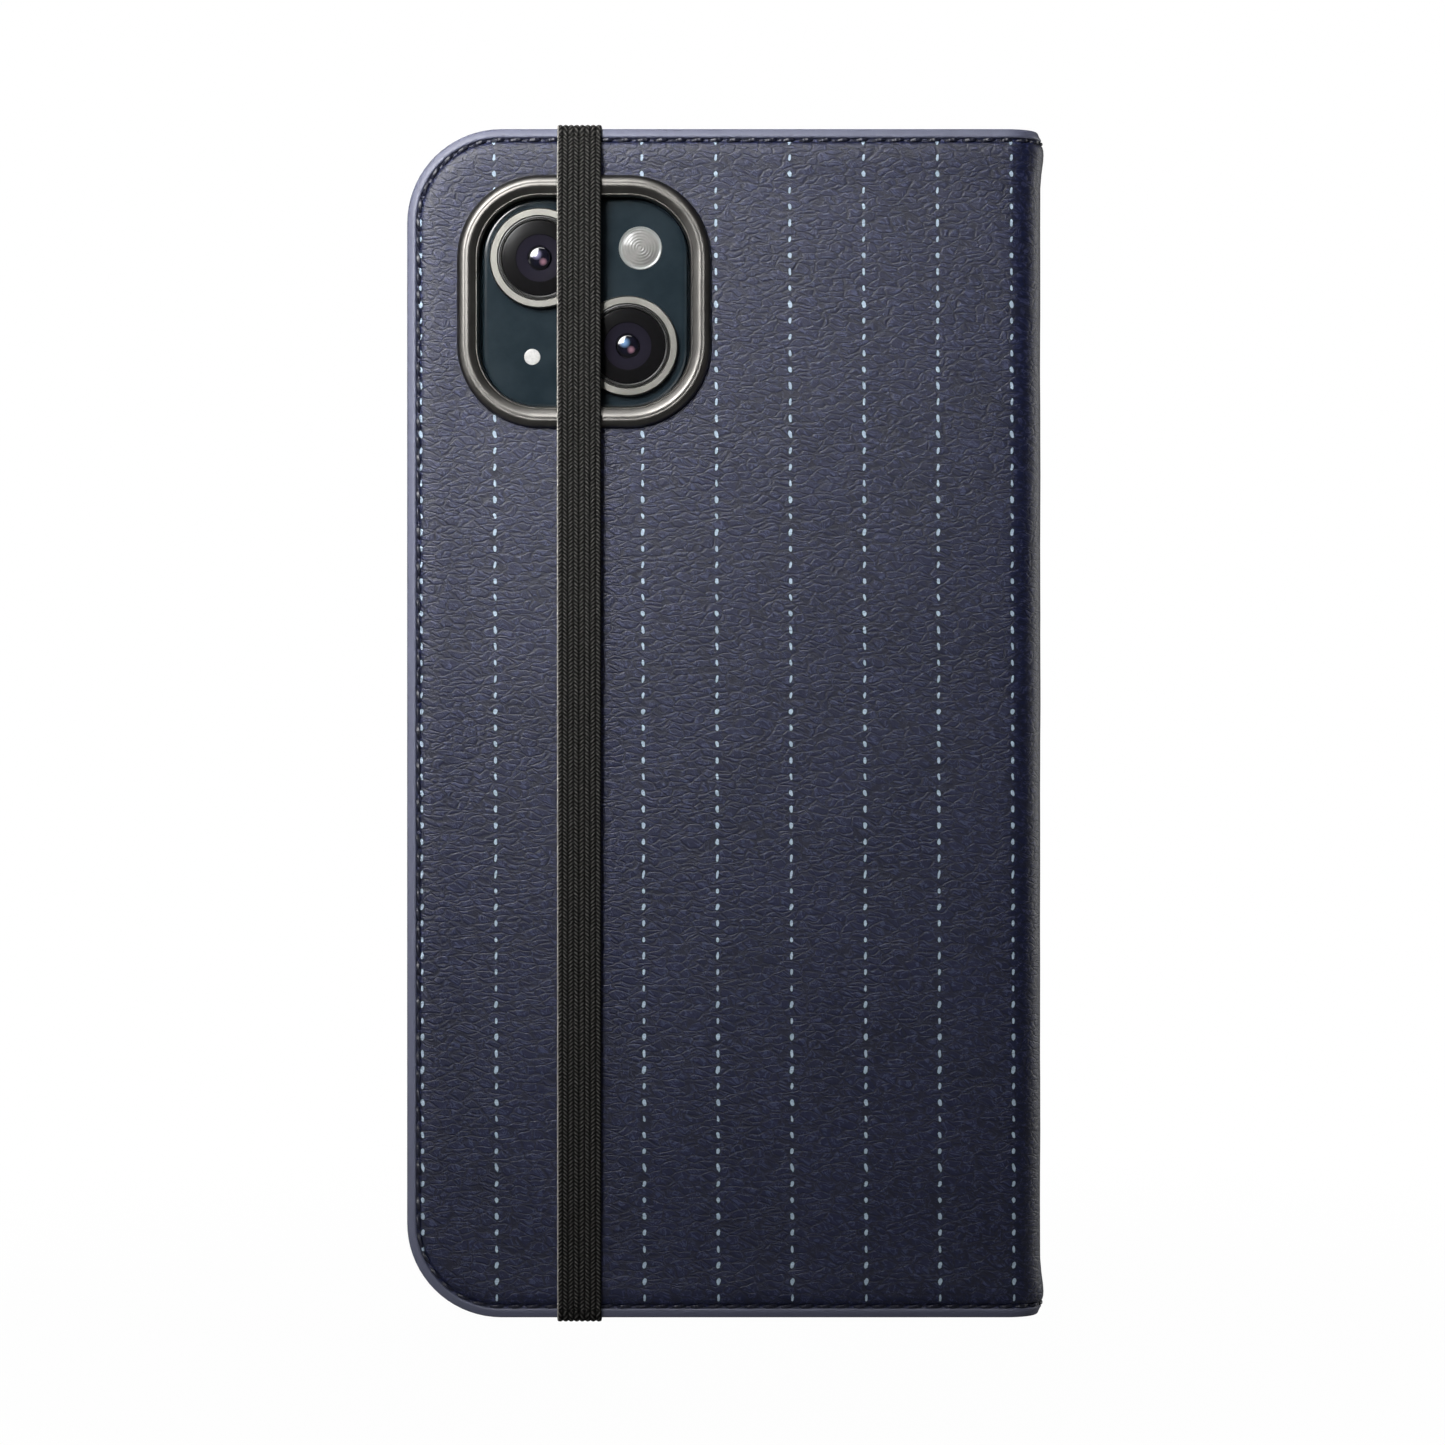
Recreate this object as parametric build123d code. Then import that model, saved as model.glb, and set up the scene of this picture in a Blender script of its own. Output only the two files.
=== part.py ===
from build123d import *

import os

# Phone wallet case: a leather folio round a phone in a clear gel shell, held shut by an elastic strap.
# Millimetres. X runs across the case with the spine at +X, Y runs through its thickness with the
# camera side at -Y, and Z runs up its height. The origin is under the middle of the bounding box.

# Covers
COVER_WIDTH = 91.0
COVER_HEIGHT = 170.2
CORNER_RADIUS = 13.5
EDGE_ROLL = 0.9
SKIN = 0.8
BOARD = 0.8
LINING = 0.5
COVER = SKIN + BOARD + LINING
BOARD_INSET = 1.2
LINING_INSET = 2.6

# Creases and spine
CREASE_RADIUS = 5.0
CREASE_THICKNESS = 1.3
CREASE_GAP_DEG = 0.6
SPINE_STIFFENER = 0.5
SPINE_LINING = 0.4

# Seams
SEAM_INSET = 1.65
SEAM_GROOVE_WIDTH = 0.7
SEAM_GROOVE_DEPTH = 0.35
THREAD = 0.5
THREAD_DEPTH = 0.3

# Phone and the gel shell that holds it
PHONE_WIDTH = 77.8
PHONE_HEIGHT = 160.9
PHONE_DEPTH = 7.8
PHONE_RADIUS = 12.0
PHONE_CENTRE_X = -0.8
PHONE_GLASS = 0.8
FIT = 0.1
SHELL_BASE = 1.2
SHELL_WALL = 1.4
SHELL_LIP = 0.8
SHELL_LIP_REACH = 1.2
ADHESIVE = 0.3
ADHESIVE_WIDTH = 60.0
ADHESIVE_HEIGHT = 104.0
ADHESIVE_CENTRE_Z = 68.0

# Ports in the bottom wall of the shell, as distances behind the phone's back glass
PORT_WIDTH = 14.0
PORT_DEPTH = 5.2
SPEAKER_WIDTH = 9.0
SPEAKER_DEPTH = 1.8
SPEAKER_SPACING = 20.0

# Button pads of the shell: (name, side, height above the phone's middle, length)
PADS = [
    ("power_button_pad", -1, 26.0, 18.0),
    ("action_button_pad", 1, 54.0, 7.0),
    ("volume_up_button_pad", 1, 39.0, 12.0),
    ("volume_down_button_pad", 1, 23.0, 12.0),
]
PAD_WIDTH = 3.4
PAD_PROUD = 0.5
PAD_THICKNESS = 1.5
PAD_CLEARANCE = 0.12

# Camera window of the back cover
BEZEL_X = -20.1
BEZEL_RISE = 145.4
BEZEL_WIDTH = 36.4
BEZEL_HEIGHT = 36.2
BEZEL_RADIUS = 12.0
BEZEL_PROUD = 1.3
BEZEL_CHAMFER = 0.7
BEZEL_FLANGE = 1.6
WINDOW_WIDTH = 30.2
WINDOW_HEIGHT = 30.8
WINDOW_RADIUS = 8.6

# Camera island of the phone, with its lenses measured from the window's middle
ISLAND_WIDTH = 29.6
ISLAND_HEIGHT = 30.2
ISLAND_RADIUS = 8.3
ISLAND_PROUD = 2.3
LENS_PLACES = [(-6.4, 6.3), (6.2, -6.3)]
LENS_RING_RADIUS = 7.2
LENS_RADIUS = 6.0
LENS_RING_PROUD = 1.2
LENS_SINK = 0.3
FLASH_PLACE = (8.0, 7.8)
FLASH_RADIUS = 3.1
MICROPHONE_PLACE = (-7.5, -7.8)
MICROPHONE_RADIUS = 1.15
TRIM_PROUD = 0.15

# Pockets on the inside of the front cover
CASH_POCKET = 0.7
CARD_POCKET = 0.55
POCKET_CAVITY = 0.2
POCKET_SEAM = 2.0
CASH_LEFT = -41.0
CASH_RIGHT = 37.0
CASH_HEIGHT = 160.0
CARD_LEFT = -36.0
CARD_RIGHTS = [30.0, 22.0, 14.0]
CARD_HEIGHT = 92.0
POCKET_RADIUS = 3.0
THUMB_RADIUS = 9.0
POCKET_THREAD = 0.4
POCKET_THREAD_PROUD = 0.12
CLOSING_GAP = 0.4

# Elastic strap
STRAP_X = -20.8
STRAP_WIDTH = 6.3
STRAP = 0.9
STRAP_AT_EDGE = 0.55
STRAP_CLEARANCE = 0.05
STRAP_PIVOT_DEPTH = 1.05
TACK_WIDTH = 5.0
TACK_HEIGHT = 1.2
TACK_DEPTH = 0.25
TACK_INSET = 5.0

# Levels through the thickness
SHELL_TOP = COVER + ADHESIVE + SHELL_BASE + PHONE_DEPTH + FIT + SHELL_LIP
POCKETS = CASH_POCKET + CARD_POCKET * len(CARD_RIGHTS)
CASE_DEPTH = SHELL_TOP + CLOSING_GAP + POCKETS + COVER
STRAP_REACH = STRAP + STRAP_CLEARANCE
FRONT_FACE = (BEZEL_PROUD + STRAP_REACH + CASE_DEPTH + STRAP_REACH) / 2 - STRAP_REACH
BACK_FACE = FRONT_FACE - CASE_DEPTH
SHELL_BACK = BACK_FACE + COVER + ADHESIVE
PHONE_BACK = SHELL_BACK + SHELL_BASE
PHONE_FRONT = PHONE_BACK + PHONE_DEPTH

# Levels across the width and up the height
LEFT = -COVER_WIDTH / 2
RIGHT = COVER_WIDTH / 2
FLAT_END = RIGHT - CREASE_RADIUS
BOTTOM = STRAP_AT_EDGE + STRAP_CLEARANCE
TOP = BOTTOM + COVER_HEIGHT
MIDDLE = (BOTTOM + TOP) / 2
BEZEL_Z = BOTTOM + BEZEL_RISE
SLEEVE_WIDTH = BEZEL_WIDTH - 2 * BEZEL_FLANGE
SLEEVE_HEIGHT = BEZEL_HEIGHT - 2 * BEZEL_FLANGE
SLEEVE_RADIUS = BEZEL_RADIUS - BEZEL_FLANGE


def plate(outline, y_a, y_b):
    """A flat outline drawn in X and Z, made solid between two levels in Y."""
    far = max(y_a, y_b)
    return extrude(Plane((0, far, 0), x_dir=(1, 0, 0), z_dir=(0, -1, 0)) * outline, abs(y_b - y_a))


def column(outline, z_a, z_b):
    """A flat outline drawn in X and Y, made solid between two heights."""
    return extrude(Plane((0, 0, z_a)) * outline, z_b - z_a)


def block(x_a, x_b, y_a, y_b, z_a, z_b):
    """A plain box between three pairs of levels."""
    middle = Pos((x_a + x_b) / 2, (y_a + y_b) / 2, (z_a + z_b) / 2)
    return middle * Box(abs(x_b - x_a), abs(y_b - y_a), abs(z_b - z_a))


def round_rectangle(x, z, width, height, radius):
    return Pos(x, z) * RectangleRounded(width, height, radius)


def page(left, right, height, radius):
    """A page: a rectangle about mid-height with round corners on its free side, away from the spine."""
    outline = Pos((left + right) / 2, MIDDLE) * Rectangle(right - left, height)
    return fillet(outline.vertices().group_by(Axis.X)[0], radius)


def cover_page(inset, right=FLAT_END):
    return page(LEFT + inset, right, COVER_HEIGHT - 2 * inset, CORNER_RADIUS - inset)


def seam_band(width):
    """The seam's line along the free edges of a cover, as a band of the given width."""
    outer = cover_page(SEAM_INSET - width / 2)
    return outer - cover_page(SEAM_INSET + width / 2, FLAT_END + CREASE_RADIUS)


def camera_hole(y_a, y_b):
    outline = round_rectangle(
        BEZEL_X, BEZEL_Z, SLEEVE_WIDTH + 2 * FIT, SLEEVE_HEIGHT + 2 * FIT, SLEEVE_RADIUS + FIT
    )
    return plate(outline, y_a, y_b)


def crease(centre_y, start, end):
    """A length of the rounded crease, as an arc about the end of the flat cover, angles from +X."""
    arc = CenterArc((FLAT_END, centre_y), CREASE_RADIUS, start, end - start)
    inner = CenterArc((FLAT_END, centre_y), CREASE_RADIUS - CREASE_THICKNESS, start, end - start)
    sides = [Line(arc @ 0, inner @ 0), Line(arc @ 1, inner @ 1)]
    return column(make_face(Curve() + [arc, inner, *sides]), BOTTOM, TOP)


def cover(face, inward):
    """Skin, board, lining and seam thread of one cover. face is its outside, inward its +Y or -Y side."""
    board_out = face + inward * SKIN
    board_in = board_out + inward * BOARD
    inside = face + inward * COVER
    skin = plate(cover_page(0), face, inside)
    outer_edges = skin.faces().sort_by(Axis.Y)[0 if inward > 0 else -1].edges()
    rolled = [edge for edge in outer_edges if edge.center().X < FLAT_END - 1]
    skin = fillet(rolled, EDGE_ROLL)
    board = plate(cover_page(BOARD_INSET, FLAT_END - BOARD_INSET), board_out, board_in)
    lining = plate(cover_page(LINING_INSET, FLAT_END - BOARD_INSET), board_in, inside)
    skin -= board
    skin -= lining
    skin -= plate(seam_band(SEAM_GROOVE_WIDTH), face, face + inward * SEAM_GROOVE_DEPTH)
    thread_out = face + inward * (SEAM_GROOVE_DEPTH - THREAD_DEPTH)
    thread = plate(seam_band(THREAD), thread_out, face + inward * SEAM_GROOVE_DEPTH)
    half = 45 + CREASE_GAP_DEG / 2
    start, end = (-90, -half) if inward > 0 else (half, 90)
    skin += crease(face + inward * CREASE_RADIUS, start, end)
    return skin, board, lining, thread


def spine():
    """Skin, stiffener, lining and the short end seams of the spine, with its half of each crease."""
    back = BACK_FACE + CREASE_RADIUS
    front = FRONT_FACE - CREASE_RADIUS
    half = 45 - CREASE_GAP_DEG / 2
    stiffener_out = RIGHT - CREASE_THICKNESS
    lining_out = stiffener_out - SPINE_STIFFENER
    skin = block(stiffener_out, RIGHT, back, front, BOTTOM, TOP)
    skin += crease(back, -half, 0)
    skin += crease(front, 0, half)
    threads = Part()
    for end, into in ((BOTTOM, 1), (TOP, -1)):
        seam = end + into * SEAM_INSET
        groove = SEAM_GROOVE_WIDTH / 2
        floor = RIGHT - SEAM_GROOVE_DEPTH
        skin -= block(floor, RIGHT, back, front, seam - groove, seam + groove)
        threads += block(floor, floor + THREAD_DEPTH, back, front, seam - THREAD / 2, seam + THREAD / 2)
    stiffener = block(lining_out, stiffener_out, back, front, BOTTOM + BOARD_INSET, TOP - BOARD_INSET)
    lining = block(lining_out - SPINE_LINING, lining_out, back, front, BOTTOM, TOP)
    return skin, stiffener, lining, threads


def camera_bezel():
    """The metal ring of the camera window: a proud flange on the leather and a sleeve through the cover."""
    flange = plate(
        round_rectangle(BEZEL_X, BEZEL_Z, BEZEL_WIDTH, BEZEL_HEIGHT, BEZEL_RADIUS),
        BACK_FACE - BEZEL_PROUD,
        BACK_FACE,
    )
    flange = chamfer(flange.faces().sort_by(Axis.Y)[0].edges(), BEZEL_CHAMFER)
    sleeve_outline = round_rectangle(BEZEL_X, BEZEL_Z, SLEEVE_WIDTH, SLEEVE_HEIGHT, SLEEVE_RADIUS)
    window = round_rectangle(BEZEL_X, BEZEL_Z, WINDOW_WIDTH, WINDOW_HEIGHT, WINDOW_RADIUS)
    ring = flange + plate(sleeve_outline, BACK_FACE, BACK_FACE + COVER)
    return ring - plate(window, BACK_FACE - BEZEL_PROUD, BACK_FACE + COVER)


def phone_outline(grow):
    return round_rectangle(
        PHONE_CENTRE_X, MIDDLE, PHONE_WIDTH + 2 * grow, PHONE_HEIGHT + 2 * grow, PHONE_RADIUS + grow
    )


def pad_outline(height, length, grow):
    """A button pad's pill shape, drawn in Y and Z."""
    y = PHONE_BACK + PHONE_DEPTH / 2
    return Pos(y, MIDDLE + height) * SlotOverall(length + 2 * grow, PAD_WIDTH + 2 * grow, rotation=90)


def pad(side, height, length):
    wall_out = PHONE_CENTRE_X + side * (PHONE_WIDTH / 2 + FIT + SHELL_WALL)
    start = wall_out + side * PAD_PROUD
    face = Plane((start, 0, 0), x_dir=(0, 1, 0), z_dir=(1, 0, 0))
    return extrude(face * pad_outline(height, length, 0), -side * PAD_THICKNESS)


def gel_shell():
    """The soft tray that holds the phone: base, walls and lip, with camera, port and button openings."""
    grow = FIT + SHELL_WALL
    shell = plate(phone_outline(grow), SHELL_BACK, BACK_FACE + SHELL_TOP)
    shell -= plate(phone_outline(FIT), PHONE_BACK, PHONE_FRONT + FIT)
    shell -= plate(phone_outline(-SHELL_LIP_REACH), PHONE_FRONT, BACK_FACE + SHELL_TOP)
    shell -= camera_hole(SHELL_BACK, PHONE_BACK)
    wall_z = MIDDLE - PHONE_HEIGHT / 2
    openings = [(0.0, PORT_WIDTH, PORT_DEPTH)]
    openings += [(side * SPEAKER_SPACING, SPEAKER_WIDTH, SPEAKER_DEPTH) for side in (-1, 1)]
    for offset, width, depth in openings:
        x = PHONE_CENTRE_X + offset
        y = PHONE_BACK + PHONE_DEPTH / 2
        outline = Pos(x, y) * SlotOverall(width, depth)
        shell -= column(outline, wall_z - grow - FIT, wall_z)
    for _, side, height, length in PADS:
        wall_in = PHONE_CENTRE_X + side * PHONE_WIDTH / 2
        face = Plane((wall_in, 0, 0), x_dir=(0, 1, 0), z_dir=(1, 0, 0))
        shell -= extrude(face * pad_outline(height, length, PAD_CLEARANCE), side * (grow + FIT))
    return shell


def adhesive_pad():
    outline = round_rectangle(
        PHONE_CENTRE_X, ADHESIVE_CENTRE_Z, ADHESIVE_WIDTH, ADHESIVE_HEIGHT, POCKET_RADIUS
    )
    return plate(outline, BACK_FACE + COVER, SHELL_BACK)


def phone():
    """Back glass, metal frame and screen of the phone, stacked from back to front."""
    frame_back = PHONE_BACK + PHONE_GLASS
    frame_front = PHONE_FRONT - PHONE_GLASS
    back_glass = plate(phone_outline(-PHONE_GLASS), PHONE_BACK, frame_back)
    frame = plate(phone_outline(0), frame_back, frame_front)
    screen = plate(phone_outline(-PHONE_GLASS), frame_front, PHONE_FRONT)
    return back_glass, frame, screen


def disc(place, radius, y_a, y_b):
    return plate(Pos(BEZEL_X + place[0], BEZEL_Z + place[1]) * Circle(radius), y_a, y_b)


def camera():
    """Camera island with two lens rings, their cover glasses, the flash and the microphone."""
    face = PHONE_BACK - ISLAND_PROUD
    outline = round_rectangle(BEZEL_X, BEZEL_Z, ISLAND_WIDTH, ISLAND_HEIGHT, ISLAND_RADIUS)
    island = plate(outline, face, PHONE_BACK)
    rings = Part()
    lenses = Part()
    for place in LENS_PLACES:
        rings += disc(place, LENS_RING_RADIUS, face - LENS_RING_PROUD, face)
        rings -= disc(place, LENS_RADIUS, face - LENS_RING_PROUD, face)
        lenses += disc(place, LENS_RADIUS, face - LENS_RING_PROUD + LENS_SINK, face)
    flash = disc(FLASH_PLACE, FLASH_RADIUS, face - TRIM_PROUD, face)
    microphone = disc(MICROPHONE_PLACE, MICROPHONE_RADIUS, face - TRIM_PROUD, face)
    return island, rings, lenses, flash, microphone


def pocket(left, right, height, radius, y_root, thickness):
    """A pocket sheet, sewn on three sides and open towards the spine, with a thumb notch in its mouth."""
    sheet = plate(page(left, right, height, radius), y_root - thickness, y_root)
    room = page(left + POCKET_SEAM, right + POCKET_SEAM, height - 2 * POCKET_SEAM, radius)
    sheet -= plate(room, y_root - POCKET_CAVITY, y_root)
    thumb = Pos(right + THUMB_RADIUS / 3, MIDDLE) * Circle(THUMB_RADIUS)
    return sheet - plate(thumb, y_root - thickness, y_root)


def pocket_thread(left, right, height, radius, y_face):
    """The line of thread that sews a pocket down, on the sheet's face."""
    outer_inset = POCKET_SEAM / 2 - POCKET_THREAD / 2
    inner_inset = POCKET_SEAM / 2 + POCKET_THREAD / 2
    outer = page(left + outer_inset, right - POCKET_SEAM, height - 2 * outer_inset, radius)
    inner = page(left + inner_inset, right, height - 2 * inner_inset, radius)
    return plate(outer - inner, y_face - POCKET_THREAD_PROUD, y_face)


def pockets():
    """The cash pocket on the lining, the card pockets on top of it, and the thread that sews them."""
    sheets = {}
    root = FRONT_FACE - COVER
    radius = CORNER_RADIUS - LINING_INSET
    sheets["cash_pocket"] = pocket(CASH_LEFT, CASH_RIGHT, CASH_HEIGHT, radius, root, CASH_POCKET)
    root -= CASH_POCKET
    threads = pocket_thread(CASH_LEFT, CASH_RIGHT, CASH_HEIGHT, radius, root)
    for number, right in enumerate(CARD_RIGHTS, start=1):
        sheets[f"card_pocket_{number}"] = pocket(
            CARD_LEFT, right, CARD_HEIGHT, POCKET_RADIUS, root, CARD_POCKET
        )
        root -= CARD_POCKET
    threads += pocket_thread(CARD_LEFT, CARD_RIGHTS[-1], CARD_HEIGHT, POCKET_RADIUS, root)
    sheets["pocket_thread"] = threads
    return sheets


def strap_sides():
    return STRAP_X - STRAP_WIDTH / 2, STRAP_X + STRAP_WIDTH / 2


def strap_back_span():
    """The length of strap behind the back cover: straight from each edge up to the proud bezel."""
    rest = BACK_FACE - STRAP_CLEARANCE
    lift = rest - BEZEL_PROUD
    low, high = BOTTOM + STRAP_CLEARANCE, TOP - STRAP_CLEARANCE
    bezel_low = BEZEL_Z - BEZEL_HEIGHT / 2
    bezel_high = BEZEL_Z + BEZEL_HEIGHT / 2
    near = [(rest, low), (lift, bezel_low), (lift, bezel_high), (rest, high)]
    far = [(y - STRAP, z) for y, z in reversed(near)]
    x_a, x_b = strap_sides()
    side = Plane((x_a, 0, 0), x_dir=(0, 1, 0), z_dir=(1, 0, 0))
    return extrude(side * Polygon(*near, *far, align=None), x_b - x_a)


def strap_front():
    """The length of strap sewn to the front cover, hooked round its two edges, and its bar tacks."""
    x_a, x_b = strap_sides()
    hook = FRONT_FACE - STRAP_PIVOT_DEPTH + 2 * STRAP_CLEARANCE
    face = FRONT_FACE + STRAP
    span = block(x_a, x_b, FRONT_FACE, face, 0, TOP + BOTTOM)
    span += block(x_a, x_b, hook, FRONT_FACE, 0, STRAP_AT_EDGE)
    span += block(x_a, x_b, hook, FRONT_FACE, TOP + STRAP_CLEARANCE, TOP + BOTTOM)
    tacks = Part()
    for z in (BOTTOM + TACK_INSET, TOP - TACK_INSET):
        tacks += block(
            STRAP_X - TACK_WIDTH / 2,
            STRAP_X + TACK_WIDTH / 2,
            face - TACK_DEPTH,
            face,
            z - TACK_HEIGHT / 2,
            z + TACK_HEIGHT / 2,
        )
    return span - tacks, tacks


def strap_arm(z_a, z_b):
    """A length of strap that runs round the closed case's end, from the front cover to the back span."""
    x_a, x_b = strap_sides()
    return block(x_a, x_b, BACK_FACE - STRAP_REACH, FRONT_FACE - STRAP_PIVOT_DEPTH, z_a, z_b)


def build():
    nodes = {}
    sides = (("back", BACK_FACE, 1), ("front", FRONT_FACE, -1))
    for name, face, inward in sides:
        skin, board, lining, thread = cover(face, inward)
        if name == "back":
            hole = camera_hole(BACK_FACE, BACK_FACE + COVER)
            skin, board, lining = skin - hole, board - hole, lining - hole
        nodes[f"{name}_cover_skin"] = skin
        nodes[f"{name}_cover_board"] = board
        nodes[f"{name}_cover_lining"] = lining
        nodes[f"{name}_seam_thread"] = thread
    names = ("spine_skin", "spine_stiffener", "spine_lining", "spine_seam_threads")
    nodes.update(zip(names, spine()))
    nodes["camera_bezel"] = camera_bezel()
    nodes["shell_adhesive"] = adhesive_pad()
    nodes["gel_shell"] = gel_shell()
    for name, side, height, length in PADS:
        nodes[name] = pad(side, height, length)
    nodes.update(zip(("phone_back_glass", "phone_frame", "phone_screen"), phone()))
    names = ("camera_island", "lens_rings", "lens_glasses", "flash_window", "microphone_port")
    nodes.update(zip(names, camera()))
    nodes.update(pockets())
    nodes["strap_front_span"], nodes["strap_tacks"] = strap_front()
    nodes["strap_bottom_arm"] = strap_arm(0, STRAP_AT_EDGE)
    nodes["strap_top_arm"] = strap_arm(TOP + STRAP_CLEARANCE, TOP + BOTTOM)
    nodes["strap_back_span"] = strap_back_span()
    return nodes


os.makedirs("parts", exist_ok=True)
for node, solid in build().items():
    export_step(solid, f"parts/{node}.step")
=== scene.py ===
import math
import random

import bmesh
import bpy
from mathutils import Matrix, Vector, geometry, noise

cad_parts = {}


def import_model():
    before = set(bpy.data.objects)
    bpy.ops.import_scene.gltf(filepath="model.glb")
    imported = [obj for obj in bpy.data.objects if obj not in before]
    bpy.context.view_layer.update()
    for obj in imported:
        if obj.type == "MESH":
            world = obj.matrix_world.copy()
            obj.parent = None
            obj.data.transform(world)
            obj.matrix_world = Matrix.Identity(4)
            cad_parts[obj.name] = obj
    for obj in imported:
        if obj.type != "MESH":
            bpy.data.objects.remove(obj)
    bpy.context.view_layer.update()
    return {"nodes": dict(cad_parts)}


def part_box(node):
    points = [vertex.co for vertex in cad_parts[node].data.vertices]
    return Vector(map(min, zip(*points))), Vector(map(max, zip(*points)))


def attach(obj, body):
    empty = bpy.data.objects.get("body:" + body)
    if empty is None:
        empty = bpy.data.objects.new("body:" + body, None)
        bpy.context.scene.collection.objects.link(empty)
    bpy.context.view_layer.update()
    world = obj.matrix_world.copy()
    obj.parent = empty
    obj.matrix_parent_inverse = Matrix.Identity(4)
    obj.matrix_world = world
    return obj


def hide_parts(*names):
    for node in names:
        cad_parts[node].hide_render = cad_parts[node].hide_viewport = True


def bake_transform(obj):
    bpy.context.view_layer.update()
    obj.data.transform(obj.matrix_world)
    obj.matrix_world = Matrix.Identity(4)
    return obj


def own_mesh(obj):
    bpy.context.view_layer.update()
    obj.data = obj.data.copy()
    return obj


# Looks for a leather folio phone case. Shapes are worked out in millimetres, in the frame of the CAD
# model, and scaled to metres when a mesh is made. X runs to the spine, -Y is the camera side, Z is up.

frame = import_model()

MM = 0.001


def corners(node):
    """A CAD node's lowest and highest corners, in millimetres."""
    low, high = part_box(node)
    return Vector(low) / MM, Vector(high) / MM


def middle(node):
    low, high = corners(node)
    return (low + high) / 2


LEFT, BACK, BOTTOM = corners("back_cover_skin")[0]
TOP = corners("back_cover_skin")[1].z
RIGHT = corners("spine_skin")[1].x
FRONT = corners("front_cover_skin")[1].y
HEIGHT = TOP - BOTTOM

# The leather sheet. A point of it is (s, z, depth): s runs over the cover and round the spine.
CREASE_RADIUS = 5.0
CORNER_RADIUS = 13.5
COVER = 2.1
CREASE_THICKNESS = 1.3
BOARD_DEPTH = 1.6
SPINE_DEPTH = 2.2
SHEET_FLAT = RIGHT - CREASE_RADIUS - LEFT
SHEET_BEND = CREASE_RADIUS * math.pi / 2
SHEET_END = SHEET_FLAT + SHEET_BEND + (FRONT - BACK) / 2 - CREASE_RADIUS
LINING_INSET = 2.6
LINING_CREASE_RISE = 0.35
SEAM_INSET = 1.65
RING_INSET = 8.0
SOFTNESS = 0.05
SPINE_END_BULGE = 0.4

# The rolled rim and the seam's groove: (distance in from the edge, depth below the outer face)
RIM_INSIDE = [
    (RING_INSET, BOARD_DEPTH),
    (LINING_INSET, BOARD_DEPTH),
    (LINING_INSET, 2.05),
    (2.4, COVER),
    (0.9, COVER),
    (0.45, 2.02),
    (0.14, 1.78),
    (0.0, 1.4),
    (0.0, 0.8),
]
RIM_OUTSIDE = [
    (0.05, 0.5),
    (0.14, 0.38),
    (0.3, 0.3),
    (0.7, 0.16),
    (1.1, 0.03),
    (1.22, 0.06),
    (1.34, 0.2),
    (1.45, 0.42),
    (SEAM_INSET, 0.48),
    (1.86, 0.4),
    (1.98, 0.2),
    (2.16, 0.07),
    (2.6, -0.05),
    (3.2, -0.11),
    (4.2, -0.13),
    (6.0, -0.08),
    (RING_INSET, 0.0),
]

# Stitches
STITCH_PITCH = 2.6
STITCH_LENGTH = 2.15
STITCH_RADIUS = 0.27
STITCH_SLANT = 0.26
POCKET_STITCH_PITCH = 2.4
POCKET_STITCH_LENGTH = 1.9
POCKET_STITCH_RADIUS = 0.16
TACK_STITCHES = 13
TACK_STITCH_LENGTH = 1.3
TACK_STITCH_RADIUS = 0.2

# The printed pattern
STRIPE_PITCH = 10.57
STRIPE_START = 1.9
STRIPE_LEAN = 0.0025
DASH_PITCH = 2.33
DASH_HALF_WIDTH = 0.215
DASH_HALF_HEIGHT = 0.47

# The strap
STRAP_LOW, STRAP_HIGH = corners("strap_back_span")
ARM_LOW, ARM_HIGH = corners("strap_bottom_arm")
STRAP_WIDTH = STRAP_HIGH.x - STRAP_LOW.x
STRAP_RIBS = 8
STRAND_PITCH = 0.56
STRAP_RELIEF = 0.2
SPAN_THICKNESS = 0.86
ARM_THICKNESS = ARM_HIGH.z - ARM_LOW.z
STRAP_CORNER = 1.25
HOOK_CORNER = 0.9
STRAP_GAP = 0.05

# The camera window
WINDOW_WIDTH = 33.0
WINDOW_HEIGHT = 32.8
BEZEL_OVERLAP = 1.5
BEZEL_RADIUS = 12.0
SLEEVE_DEPTH = 2.1
ISLAND_RADIUS = 8.3
LENS_REACH = 7.2

# The phone's tray, its button pads and the pockets
TRAY_RADIUS = 13.5
PORT_OPENINGS = [(0.0, 14.0, 5.2), (-20.0, 9.0, 1.8), (20.0, 9.0, 1.8)]
WALL_CUT = 1.45
PAD_GAP = 0.12
PAD_NODES = ("power_button_pad", "action_button_pad", "volume_up_button_pad", "volume_down_button_pad")
THUMB_RADIUS = 9.0
CASH_POCKET_RADIUS = 10.9
CARD_POCKET_RADIUS = 3.0
SPINE_BOARD_GAP = 2.25

# The camera and the studio, in metres
CAMERA_DISTANCE = 0.58
VIEW_WIDTH = 0.2067
WORLD_LIGHT = 0.02


def srgb(red, green, blue):
    """A display colour, 0 to 255, as the linear colour that shaders take."""
    linear = []
    for value in (red, green, blue):
        value /= 255
        linear.append(value / 12.92 if value <= 0.04045 else ((value + 0.055) / 1.055) ** 2.4)
    return (*linear, 1.0)


def toned(colour, share, lift=0.0):
    """A lighter or darker version of a linear colour."""
    return (*[min(1.0, value * share + lift) for value in colour[:3]], 1.0)


def smooth(low, high, value):
    """0 below low, 1 above high, and a smooth rise between."""
    share = min(max((value - low) / (high - low), 0.0), 1.0)
    return share * share * (3 - 2 * share)


def steps(start, end, count):
    """count + 1 evenly spaced values from start to end."""
    return [start + (end - start) * k / count for k in range(count + 1)]


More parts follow.
